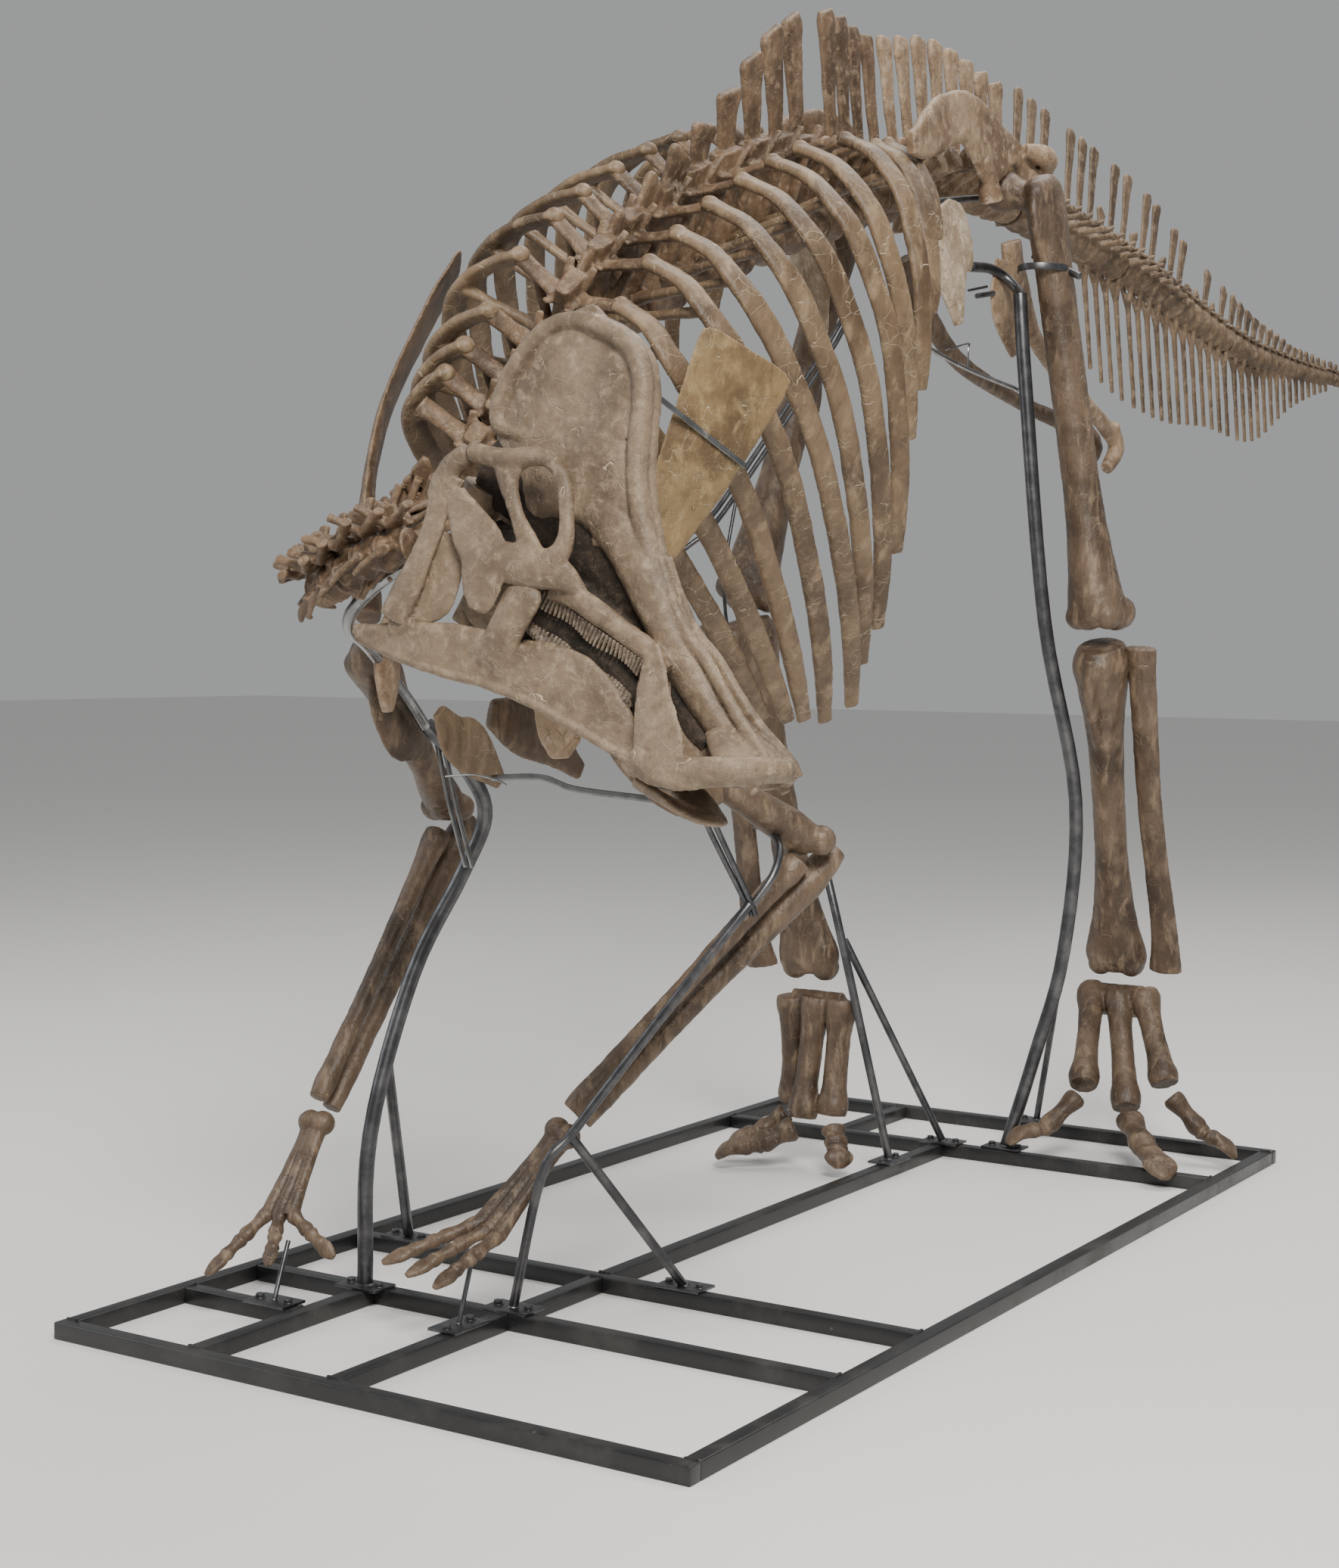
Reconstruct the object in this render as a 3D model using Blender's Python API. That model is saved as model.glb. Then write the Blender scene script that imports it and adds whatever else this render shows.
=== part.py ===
"""Mounted skeleton of a helmet-crested duck-billed dinosaur on its welded steel floor frame.

Metres, +Z up. The animal faces -Y and its left side is +X. While it is modelled, the
floor frame's front edge lies on y = 0; at the end the whole is moved so that the origin
is at the bottom centre of its bounding box.
"""

import math

import bpy
import numpy as np

# ---------------------------------------------------------------- driving dimensions
X, Y, Z = np.eye(3)
LEFT, RIGHT = 1, -1
SIDE_NAME = {LEFT: "left", RIGHT: "right"}
MIDLINE = -0.05  # x of the backbone over the frame
JOINT_GAP = 0.006  # modelling gap between two bones that meet
CHEST_GAP = 0.008  # between the two sides of the rib cage

# Backbone. Vertebrae 1-18 are dorsal, 19-26 sacral; the tail is counted apart.
LAST_DORSAL = 18
LAST_SACRAL = 26
SPINE_KNOTS = (1, 3, 5, 7, 9, 12, 15, 18, 22, 26)
SPINE_X = (-0.13, -0.115, -0.09, -0.075, -0.06, -0.05, -0.05, -0.05, -0.05, -0.05)
SPINE_Y = (0.55, 0.665, 0.80, 0.98, 1.225, 1.615, 1.91, 2.14, 2.48, 2.84)
SPINE_Z = (1.71, 1.825, 1.982, 2.09, 2.205, 2.355, 2.45, 2.54, 2.61, 2.63)
SPINE_ROLL = (28, 28, 28, 25, 20, 12, 5, 0, 0, 0)  # degrees, top towards the left side
CHEST_ROLL = 0.4  # share of that roll that the ribs follow
SPINE_HEIGHT = (0.16, 0.19, 0.215, 0.30, 0.33, 0.435, 0.461, 0.377, 0.371, 0.319)
SPINE_LEAN = (0.3, 0.1, -0.15, -0.12, -0.28, -0.42, -0.30, -0.24, -0.15, -0.13)
CROSS_REACH = 0.115  # sideways reach of a transverse process
CROSS_RISE = (0.17, 0.20, 0.225, 0.25, 0.26, 0.235, 0.165, 0.12, 0.07, 0.05)
CENTRUM = 0.055  # half width of a trunk centrum

# Ribs, by dorsal vertebra.
RIB_VERTEBRAE = (2, 3, 4, 5, 6, 7, 8, 9, 10, 11, 13, 15, 16)
RIB_KNOTS = (2, 4, 6, 7, 8, 9, 10, 11, 12.5, 14, 16)
RIB_DROP = (0.56, 0.70, 0.92, 0.96, 0.94, 0.93, 0.82, 0.62, 0.58, 0.54, 0.24)
RIB_RAKE = (0.72, 0.70, 0.68, 0.71, 0.58, 0.48, 0.32, 0.17, 0.08, -0.02, -0.02)
CHEST_DROP = (0.0, 0.03, 0.08, 0.13, 0.22, 0.32, 0.47, 0.67, 0.92, 1.12)
CHEST_HALF = (0.115, 0.21, 0.28, 0.325, 0.365, 0.395, 0.405, 0.395, 0.345, 0.27)
CHEST_SCALE_AT = (2, 4, 6, 10, 12, 16)
CHEST_SCALE = (0.42, 0.70, 0.95, 1.0, 0.85, 0.58)
RIB_RAKE_START = 0.10  # drop at which a rib begins to sweep back
RIB_HALF_WIDTH = 0.027
RIB_HALF_DEPTH = 0.013
RIB_FLAT = {LEFT: (0.5, 0.85, 0.0), RIGHT: (0.2, 0.97, 0.0)}  # along the ribs' flat faces

# Neck, from the first dorsal to the skull.
NECK_PATH = ((-0.142, 0.50, 1.66), (-0.188, 0.475, 1.63), (-0.225, 0.42, 1.59), (-0.238, 0.31, 1.535),
             (-0.19, 0.19, 1.505), (-0.10, 0.13, 1.515), (-0.02, 0.115, 1.55), (0.075, 0.125, 1.575))
NECK_UP = ((0.1, -0.6, 0.8), (-0.2, -0.5, 0.85), (-0.5, -0.3, 0.85), (-0.7, 0.1, 0.75),
           (-0.55, -0.25, 0.8), (-0.45, -0.2, 0.85), (-0.4, 0.0, 0.9), (-0.4, 0.0, 0.9))
NECK_VERTEBRAE = 13

# Tail.
TAIL_VERTEBRAE = 54
TAIL_KNOTS = (1, 6, 12, 18, 24, 30, 38, 46, 54)
TAIL_Y = (2.93, 3.38, 3.87, 4.36, 4.84, 5.30, 5.88, 6.40, 6.85)
TAIL_Z = (2.63, 2.603, 2.564, 2.494, 2.443, 2.436, 2.443, 2.43, 2.40)
TAIL_HEIGHT = (0.34, 0.31, 0.28, 0.20, 0.15, 0.095, 0.045, 0.022, 0.012)
TAIL_LEAN = (0.05, 0.12, 0.18, 0.25, 0.3, 0.35, 0.4, 0.4, 0.4)
TAIL_DEPTH = (0.10, 0.36, 0.42, 0.34, 0.30, 0.14, 0.03, 0.02, 0.012)
TAIL_CENTRUM = (0.058, 0.056, 0.05, 0.044, 0.038, 0.031, 0.023, 0.016, 0.009)
TAIL_BROKEN_SPINES = (4, 8, 11, 14, 17, 18, 20)
FIRST_CHEVRON = 6
LAST_CHEVRON = 36
LAST_CROSS = 16
TAIL_PARTS = ((1, 9), (10, 21), (22, 36), (37, 54))
TAIL_GAPS = (0.022, 0.042, 0.062, 0.074)  # how far each part is moved back

# Limb joints: hip to toe tips, shoulder to finger tips.
HIND = {
    LEFT: {"hip": (0.13, 2.50, 2.585), "top": (0.225, 2.52, 2.62), "knee": (0.365, 2.63, 1.43),
           "ankle": (0.303, 2.95, 0.48), "splay": (0.57, -0.82, 0.0),
           "II": ((0.305, 2.713, 0.20), (0.235, 2.625, 0.10), (0.16, 2.55, 0.080)),
           "III": ((0.405, 2.78, 0.135), (0.51, 2.645, 0.075), (0.62, 2.51, 0.05)),
           "IV": ((0.49, 2.847, 0.20), (0.59, 2.86, 0.09), (0.685, 2.855, 0.05))},
    RIGHT: {"hip": (-0.23, 2.50, 2.585), "top": (-0.325, 2.50, 2.62), "knee": (-0.40, 2.07, 1.49),
            "ankle": (-0.27, 2.24, 0.50), "splay": (-0.35, -0.93, 0.0),
            "II": ((-0.195, 2.21, 0.14), (-0.158, 2.17, 0.085), (-0.128, 2.133, 0.05)),
            "III": ((-0.28, 2.20, 0.125), (-0.37, 2.13, 0.07), (-0.465, 2.067, 0.05)),
            "IV": ((-0.345, 2.27, 0.15), (-0.43, 2.235, 0.08), (-0.51, 2.20, 0.05))},
}
FORE = {
    LEFT: {"shoulder": (0.12, 0.57, 1.31), "elbow": (0.39, 1.07, 0.97), "wrist": (0.035, 0.68, 0.42),
           "palm": (-0.06, 0.52, 0.21), "blade_top": (0.389, 0.766, 1.972), "blade_side": (0.45, 0.85,
                                                                                           0.0),
           "fingers": ((-0.22, 0.38, 0.15), (-0.13, 0.345, 0.145), (-0.04, 0.32, 0.14))},
    RIGHT: {"shoulder": (-0.41, 0.54, 1.39), "elbow": (-0.50, 0.97, 1.00),
            "wrist": (-0.53, 0.557, 0.40),
            "palm": (-0.52, 0.41, 0.20), "blade_top": (-0.43, 0.89, 2.21), "blade_side": (-0.54, 0.84,
                                                                                          0.0),
            "fingers": ((-0.586, 0.26, 0.096), (-0.47, 0.32, 0.12), (-0.367, 0.405, 0.134))},
}

BLADE_BOW = {LEFT: 0.02, RIGHT: 0.075}  # how far the shoulder blade curves outwards
CREST_REACH = {LEFT: 0.078, RIGHT: 0.040}  # how far the humerus crest stands out
CORACOID_AT = {LEFT: (0.12, 0.51, 1.28), RIGHT: (-0.33, 0.53, 1.36)}

# Floor frame of square tube.
TUBE = 0.035
FRAME_WIDTH = 1.5
FRAME_LENGTH = 3.0
CROSS_BARS = {"second": 0.57, "third": 0.91, "fourth": 2.57}
SHORT_BAR_Y = 0.35
INNER_RAIL_X = -0.40  # front rail inside the right-hand side rail
REAR_RAIL_X = -0.375
PLATE = (0.07, 0.11, 0.006)  # foot plate: width, length, thickness
BOLT_OFFSET = 0.038
BOLT_RADIUS = 0.010
BOLT_HEIGHT = 0.009
PLATE_CLEARANCE = 0.0004  # between a floor tube and a foot plate
TUBE_TOP = TUBE + 0.003  # height at which a post leaves its foot plate
POST_START = 0.012  # upright length at a post's foot

# Skull: its own axes, from the middle of the head at eye level.
SKULL_AT = np.array((0.403, 0.15, 1.619))
SKULL_FORWARD = np.array((0.912, -0.010, -0.410))
SKULL_UP = np.array((0.410, 0.045, 0.911))
SKULL_RIGHT = np.array((0.010, -0.999, 0.045))

# Level slices of the helmet crest: height, rear edge, front edge, half thickness.
CREST = ((-0.01, -0.19, 0.23, 0.050), (0.03, -0.20, 0.20, 0.066), (0.07, -0.235, 0.165, 0.060),
         (0.11, -0.250, 0.132, 0.052), (0.15, -0.250, 0.112, 0.046), (0.20, -0.237, 0.094, 0.043),
         (0.25, -0.225, 0.077, 0.040), (0.29, -0.204, 0.055, 0.036), (0.32, -0.165, 0.022, 0.030),
         (0.337, -0.10, -0.03, 0.018))
# Upright slices of the snout down to the flared beak: ahead, low, high, half width.
SNOUT = ((0.04, -0.09, 0.06, 0.055), (0.14, -0.12, 0.05, 0.058), (0.22, -0.14, 0.0, 0.052),
         (0.30, -0.175, -0.075, 0.046), (0.38, -0.215, -0.135, 0.043), (0.46, -0.245, -0.18, 0.05),
         (0.52, -0.265, -0.192, 0.075), (0.56, -0.262, -0.203, 0.07), (0.585, -0.245, -0.215, 0.045))

# Bars of one side of the skull: points (ahead, above, right), half widths, half depths,
# direction of the width, steps between points.
SKULL_BARS = (
    # Roof over the eye.
    (((-0.21, -0.04, 0.085), (-0.17, 0.028, 0.08), (-0.09, 0.052, 0.075), (0.0, 0.075, 0.07),
      (0.07, 0.06, 0.06)),
     (0.016, 0.015, 0.014, 0.016, 0.02), 0.03, SKULL_UP, 2),
    # Quadrate.
    (((-0.205, -0.03, 0.09), (-0.19, -0.12, 0.10), (-0.185, -0.21, 0.105), (-0.20, -0.305, 0.105)),
     (0.03, 0.026, 0.022, 0.024), (0.018, 0.016, 0.016, 0.022), SKULL_FORWARD, 2),
    # Bar behind the eye.
    (((-0.06, 0.055, 0.085), (-0.052, 0.0, 0.092), (-0.03, -0.075, 0.095)),
     (0.012, 0.011, 0.016), (0.016, 0.013, 0.013), SKULL_FORWARD, 1),
    # Cheek blade.
    (((-0.17, -0.07, 0.095), (-0.125, -0.12, 0.105), (-0.085, -0.16, 0.108), (-0.065, -0.205, 0.106)),
     (0.02, 0.045, 0.05, 0.022), (0.012, 0.013, 0.013, 0.010), SKULL_FORWARD, 2),
    # Bar under the eye.
    (((-0.10, -0.11, 0.102), (-0.03, -0.10, 0.10), (0.05, -0.10, 0.092), (0.10, -0.11, 0.075)),
     (0.022, 0.018, 0.024, 0.03), (0.012, 0.012, 0.014, 0.02), SKULL_UP, 2),
    # Bar before the eye.
    (((0.055, 0.07, 0.062), (0.062, 0.0, 0.068), (0.062, -0.09, 0.08)),
     (0.018, 0.014, 0.018), (0.02, 0.02, 0.018), SKULL_FORWARD, 1),
    # Upper tooth bone.
    (((0.02, -0.11, 0.06), (0.10, -0.115, 0.065), (0.20, -0.125, 0.058), (0.31, -0.15, 0.05)),
     (0.028, 0.04, 0.032, 0.02), (0.026, 0.026, 0.022, 0.016), SKULL_UP, 2),
    # Flange that hangs from the snout to the lip.
    (((0.285, -0.13, 0.052), (0.31, -0.20, 0.085), (0.335, -0.275, 0.10), (0.36, -0.305, 0.10)),
     (0.026, 0.022, 0.024, 0.02), (0.014, 0.011, 0.011, 0.012), SKULL_FORWARD, 2),
    # Lip of the beak.
    (((0.34, -0.30, 0.095), (0.42, -0.30, 0.105), (0.50, -0.275, 0.10), (0.565, -0.25, 0.055),
      (0.575, -0.24, 0.0)),
     (0.018, 0.02, 0.022, 0.022, 0.02), (0.02, 0.018, 0.02, 0.02, 0.018), SKULL_UP, 2),
    (((0.46, -0.215, 0.03), (0.50, -0.24, 0.085)), 0.03, 0.02, SKULL_FORWARD, 1),
)
# Bars of one side of the lower jaw, in the same form.
JAW_BARS = (
    # Ramus.
    (((-0.285, -0.345, 0.095), (-0.20, -0.338, 0.095), (-0.08, -0.307, 0.088), (0.03, -0.268, 0.08),
      (0.14, -0.258, 0.072), (0.25, -0.268, 0.06), (0.34, -0.315, 0.045)),
     (0.014, 0.022, 0.038, 0.073, 0.07, 0.06, 0.02), (0.016, 0.02, 0.024, 0.026, 0.026, 0.022, 0.018),
     SKULL_UP, 2),
    # Coronoid arm.
    (((-0.01, -0.26, 0.080), (-0.03, -0.19, 0.070), (0.0, -0.142, 0.070)),
     (0.045, 0.034, 0.028), (0.018, 0.014, 0.010), SKULL_FORWARD, 2),
    # Tooth row.
    (((0.04, -0.215, 0.072), (0.16, -0.22, 0.064), (0.28, -0.25, 0.05)),
     (0.03, 0.03, 0.02), (0.016, 0.016, 0.014), SKULL_UP, 1),
)

# Shafts: share of the length, half width, half depth.
FEMUR_SHAFT = ((0, 0.035, 0.03), (0.03, 0.075, 0.045), (0.12, 0.078, 0.048), (0.25, 0.060, 0.048),
               (0.5, 0.054, 0.050), (0.72, 0.052, 0.052), (0.88, 0.070, 0.066), (0.96, 0.078, 0.078),
               (1.0, 0.06, 0.065))
TIBIA_SHAFT = ((0, 0.06, 0.07), (0.05, 0.075, 0.095), (0.14, 0.062, 0.080), (0.3, 0.048, 0.055),
               (0.6, 0.045, 0.045), (0.82, 0.060, 0.046), (0.95, 0.088, 0.052), (1.0, 0.075, 0.045))
METATARSAL_SHAFT = ((0, 0.040, 0.045), (0.1, 0.043, 0.046), (0.5, 0.033, 0.034), (0.85, 0.042, 0.040),
                    (1.0, 0.038, 0.038))
SCAPULA_BLADE = ((0, 0.055, 0.03), (0.12, 0.075, 0.026), (0.28, 0.05, 0.018), (0.55, 0.078, 0.013),
                 (0.85, 0.108, 0.011), (0.95, 0.108, 0.010), (1.0, 0.08, 0.009))
HUMERUS_SHAFT = ((0, 0.045, 0.035), (0.07, 0.068, 0.045), (0.25, 0.050, 0.035), (0.5, 0.042, 0.034),
                 (0.7, 0.035, 0.035), (0.88, 0.048, 0.040), (1.0, 0.045, 0.035))
ULNA_SHAFT = ((0, 0.022, 0.022), (0.08, 0.036, 0.030), (0.2, 0.038, 0.034), (0.55, 0.026, 0.023),
              (0.9, 0.024, 0.022), (1.0, 0.022, 0.020))
RADIUS_SHAFT = ((0, 0.030, 0.026), (0.08, 0.030, 0.026), (0.5, 0.021, 0.018), (0.92, 0.024, 0.020),
                (1.0, 0.022, 0.018))
TOE_WIDTHS = np.array((0.040, 0.032, 0.036, 0.030, 0.044, 0.018))
TOE_DEPTHS = np.array((0.034, 0.026, 0.028, 0.022, 0.018, 0.010))
OUTER_TOE_SIZE = 0.86  # size of toes II and IV beside toe III
TOE_FLOOR = 0.030  # least height of a toe's centre line

# Hip blade: along the body, low edge, high edge.
ILIUM = ((1.865, 2.565, 2.62), (1.93, 2.565, 2.66), (2.03, 2.595, 2.73), (2.12, 2.635, 2.765),
         (2.20, 2.65, 2.785), (2.28, 2.62, 2.785), (2.35, 2.575, 2.77), (2.42, 2.60, 2.75),
         (2.52, 2.655, 2.725), (2.62, 2.60, 2.70), (2.70, 2.59, 2.67), (2.78, 2.59, 2.64),
         (2.85, 2.595, 2.615))
ILIUM_OFFSET = 0.195  # from the midline
PUBIS_LINE = ((2.09, 2.485), (2.11, 2.45), (2.155, 2.38), (2.155, 2.34), (2.175, 2.28), (2.205, 2.205))

# How each kind of bone is made: material, size of the skin's grid, triangles.
BONES = {
    "skull": ("bone_skull", 0.0075, 1400),
    "mandible": ("bone_skull", 0.0075, 560),
    "neck": ("bone_tan", 0.0065, 400),
    "rib_cage": ("bone_tan", 0.008, 1150),
    "sacrum": ("bone_tan", 0.010, 300),
    "tail_1": ("bone_brown", 0.009, 300),
    "tail_2": ("bone_brown", 0.0084, 440),
    "tail_3": ("bone_brown", 0.007, 400),
    "tail_4": ("bone_brown", 0.005, 220),
    "ilium": ("bone_tan", 0.009, 210),
    "pubis": ("bone_skull", 0.008, 110),
    "ischium_left": ("bone_tan", 0.008, 170),
    "ischium_right": ("bone_brown", 0.008, 150),
    "femur": ("bone_brown", 0.011, 220),
    "tibia": ("bone_brown", 0.010, 180),
    "fibula": ("bone_tan", 0.007, 80),
    "metatarsus": ("bone_brown", 0.009, 260),
    "toe": ("bone_brown", 0.006, 110),
    "scapula": ("bone_tan", 0.0075, 130),
    "coracoid": ("bone_tan", 0.008, 80),
    "humerus": ("bone_brown", 0.009, 200),
    "ulna": ("bone_brown", 0.007, 110),
    "radius": ("bone_brown", 0.0065, 90),
    "hand": ("bone_brown", 0.006, 240),
    "sternal_right": ("bone_tan", 0.007, 80),
    "sternal_left": ("bone_brown", 0.007, 80),
}

# Base colour, roughness and metalness.
MATERIALS = {
    "bone_brown": ((0.155, 0.095, 0.058), 0.62, 0.0),
    "bone_tan": ((0.36, 0.255, 0.165), 0.60, 0.0),
    "bone_skull": ((0.52, 0.45, 0.36), 0.55, 0.0),
    "frame_paint": ((0.012, 0.012, 0.013), 0.38, 0.0),
    "post_steel": ((0.085, 0.085, 0.09), 0.35, 1.0),
}


# ------------------------------------------------------------------------ shape tools
def vec(*values):
    """Array of floats."""
    return np.array(values, float)


def unit(vector):
    """The vector at length 1."""
    return vector / np.linalg.norm(vector)


def spline(knots, values, at):
    """Values at `at` on a smooth curve through `values` at `knots`."""
    knots = np.asarray(knots, float)
    values = np.asarray(values, float)
    slopes = np.gradient(values, knots, axis=0)
    at = np.clip(np.asarray(at, float), knots[0], knots[-1])
    index = np.clip(np.searchsorted(knots, at, side="right") - 1, 0, len(knots) - 2)
    width = knots[index + 1] - knots[index]
    t = (at - knots[index]) / width
    if values.ndim > 1:
        t = np.asarray(t)[..., None]
        width = np.asarray(width)[..., None]
    start = (2 * t**3 - 3 * t**2 + 1) * values[index] + (t**3 - 2 * t**2 + t) * width * slopes[index]
    end = (3 * t**2 - 2 * t**3) * values[index + 1] + (t**3 - t**2) * width * slopes[index + 1]
    return start + end


def loft(points, widths, depths, side, sides=8, steps=1, power=2.0):
    """Closed tube through points: half width along `side`, half depth across it."""
    points = np.array(points, float)
    count = len(points)
    widths = np.broadcast_to(np.asarray(widths, float), count)
    depths = np.broadcast_to(np.asarray(depths, float), count)
    side = np.broadcast_to(np.asarray(side, float), (count, 3))
    if steps > 1:
        knots = np.arange(count)
        fine = np.linspace(0, count - 1, (count - 1) * steps + 1)
        points = spline(knots, points, fine)
        widths = np.maximum(spline(knots, widths, fine), widths.min())
        depths = np.maximum(spline(knots, depths, fine), depths.min())
        side = spline(knots, side, fine)
    along = np.gradient(points, axis=0)
    along = along / np.linalg.norm(along, axis=1)[:, None]
    across = side - (side * along).sum(1)[:, None] * along
    across = across / np.linalg.norm(across, axis=1)[:, None]
    other = np.cross(along, across)
    angles = np.arange(sides) * 2 * math.pi / sides + (math.pi / sides if sides == 4 else 0.0)
    cos, sin = np.cos(angles), np.sin(angles)
    cos = np.sign(cos) * np.abs(cos) ** (2 / power)
    sin = np.sign(sin) * np.abs(sin) ** (2 / power)
    rings = (points[:, None] + across[:, None] * (widths[:, None] * cos)[..., None]
             + other[:, None] * (depths[:, None] * sin)[..., None])
    faces = [tuple(range(sides))[::-1]]
    for ring in range(len(points) - 1):
        for k in range(sides):
            a, b = ring * sides + k, ring * sides + (k + 1) % sides
            faces.append((a, b, b + sides, a + sides))
    last = (len(points) - 1) * sides
    faces.append(tuple(range(last, last + sides)))
    return rings.reshape(-1, 3), faces


def block(center, size, axes=(X, Y, Z)):
    """Closed box with full sizes along three axes."""
    half = [np.asarray(axis) * length / 2 for axis, length in zip(axes, size)]
    corners = []
    for i in (-1, 1):
        for j in (-1, 1):
            for k in (-1, 1):
                corners.append(np.asarray(center) + i * half[0] + j * half[1] + k * half[2])
    faces = [(0, 1, 3, 2), (4, 6, 7, 5), (0, 4, 5, 1), (2, 3, 7, 6), (0, 2, 6, 4), (1, 5, 7, 3)]
    return np.array(corners), faces


def knob(center, along, radius, side, stretch=1.0):
    """Rounded lump: half length radius * stretch along `along`."""
    reach = (-1.0, -0.75, 0.0, 0.75, 1.0)
    swell = (0.3, 0.75, 1.0, 0.75, 0.3)
    points = [np.asarray(center) + np.asarray(along) * radius * stretch * r for r in reach]
    return loft(points, [radius * s for s in swell], [radius * s for s in swell], side)


def lerp(a, b, t):
    """Point a share `t` of the way from a to b."""
    return np.asarray(a) * (1 - t) + np.asarray(b) * t


# ------------------------------------------------------------------------- node tools
def make_material(name):
    """Principled material by its name in MATERIALS."""
    color, roughness, metallic = MATERIALS[name]
    material = bpy.data.materials.new(name)
    material.use_nodes = True
    shader = material.node_tree.nodes["Principled BSDF"]
    shader.inputs["Base Color"].default_value = (*color, 1.0)
    shader.inputs["Roughness"].default_value = roughness
    shader.inputs["Metallic"].default_value = metallic
    material.diffuse_color = (*color, 1.0)
    return material


def mesh_object(name, shells):
    """Object that holds every shell, a pair of points and faces, as one mesh."""
    vertices = []
    faces = []
    for points, polygons in shells:
        start = len(vertices)
        vertices.extend(tuple(point) for point in points)
        faces.extend(tuple(start + corner for corner in polygon) for polygon in polygons)
    mesh = bpy.data.meshes.new(name)
    mesh.from_pydata(vertices, [], faces)
    mesh.update()
    obj = bpy.data.objects.new(name, mesh)
    bpy.context.scene.collection.objects.link(obj)
    return obj


def helper(obj):
    """Hides an object that only serves a modifier."""
    obj.hide_render = True
    obj.display_type = "WIRE"
    return obj


def triangle_count(obj):
    """Triangles of the object after its modifiers."""
    bpy.context.view_layer.update()
    evaluated = obj.evaluated_get(bpy.context.evaluated_depsgraph_get())
    mesh = evaluated.to_mesh()
    mesh.calc_loop_triangles()
    count = len(mesh.loop_triangles)
    evaluated.to_mesh_clear()
    return count


def make_bone(name, kind, shells, cutter=None):
    """One bone of a kind: its overlapping shells melt into one skin, which is then thinned."""
    material, voxel, triangles = BONES[kind]
    obj = mesh_object(name, shells)
    obj.data.materials.append(bpy.data.materials[material])
    melt = obj.modifiers.new("melt", "REMESH")
    melt.mode = "VOXEL"
    melt.voxel_size = voxel
    melt.use_smooth_shade = True
    if cutter:
        cut = obj.modifiers.new("part", "BOOLEAN")
        cut.operation = "INTERSECT"
        cut.object = cutter
        again = obj.modifiers.new("melt_again", "REMESH")
        again.mode = "VOXEL"
        again.voxel_size = voxel
        again.use_smooth_shade = True
    thin = obj.modifiers.new("thin", "DECIMATE")
    thin.show_viewport = False
    thin.show_render = False
    full = triangle_count(obj)
    thin.ratio = min(1.0, triangles / full)
    thin.show_viewport = True
    thin.show_render = True
    return obj


def make_steel(name, shells, material="post_steel"):
    """One steel piece: its first shell joined with the others."""
    obj = mesh_object(name, shells[:1])
    obj.data.materials.append(bpy.data.materials[material])
    if shells[1:]:
        group = bpy.data.collections.new(name + "_pieces")
        bpy.context.scene.collection.children.link(group)
        for number, shell in enumerate(shells[1:]):
            piece = helper(mesh_object(f"{name}_piece_{number}", [shell]))
            bpy.context.scene.collection.objects.unlink(piece)
            group.objects.link(piece)
        join = obj.modifiers.new("join", "BOOLEAN")
        join.operation = "UNION"
        join.operand_type = "COLLECTION"
        join.collection = group
    return obj


# --------------------------------------------------------------------------- backbone
def trunk(index):
    """Centre, forward, up, left and rolled upright of a trunk vertebra."""
    at = np.array([index - 0.2, index, index + 0.2])
    path = np.stack([spline(SPINE_KNOTS, v, at) for v in (SPINE_X, SPINE_Y, SPINE_Z)], axis=1)
    ends = (path[0], path[2]) if index < LAST_SACRAL else (path[0], path[1])
    forward = unit(ends[0] - ends[1])
    roll = math.radians(float(spline(SPINE_KNOTS, SPINE_ROLL, index)))
    upright = vec(math.sin(roll), 0, math.cos(roll))
    left = unit(np.cross(upright, forward))
    up = np.cross(forward, left)
    return path[1], forward, up, left, upright


def cross_tip(index, side):
    """Outer end of a transverse process."""
    center, forward, up, left, _ = trunk(index)
    return center + left * side * CROSS_REACH + up * float(spline(SPINE_KNOTS, CROSS_RISE, index))


def spine_tip(index):
    """Top of a neural spine."""
    center, _, _, _, upright = trunk(index)
    height = float(spline(SPINE_KNOTS, SPINE_HEIGHT, index))
    lean = float(spline(SPINE_KNOTS, SPINE_LEAN, index))
    return center + unit(upright + Y * lean) * height * math.sqrt(1 + lean**2)


def vertebra(center, forward, up, left, half_length, radius, arch, tip, blade, thickness):
    """Waisted centrum, arch block and flat neural spine up to `tip`."""
    ends = [center - forward * half_length * t for t in (-1, -0.6, 0.6, 1)]
    swell = (radius, radius * 0.82, radius * 0.82, radius)
    shells = [loft(ends, swell, swell, left)]
    foot = center + up * radius * 0.3
    top = center + up * arch
    shells.append(loft([foot, top], [radius * 0.72, radius * 0.4],
                       [half_length * 0.75, half_length * 0.8],
                       left, sides=4, power=2))
    base = center + up * arch * 0.7
    middle = lerp(base, tip, 0.5)
    shells.append(loft([base, middle, lerp(base, tip, 0.96), tip],
                       [blade * 0.75, blade * 0.85, blade, blade * 0.85],
                       [thickness * 0.8, thickness * 0.8, thickness,
                        thickness * 0.7], forward, power=3))
    return shells


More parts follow.
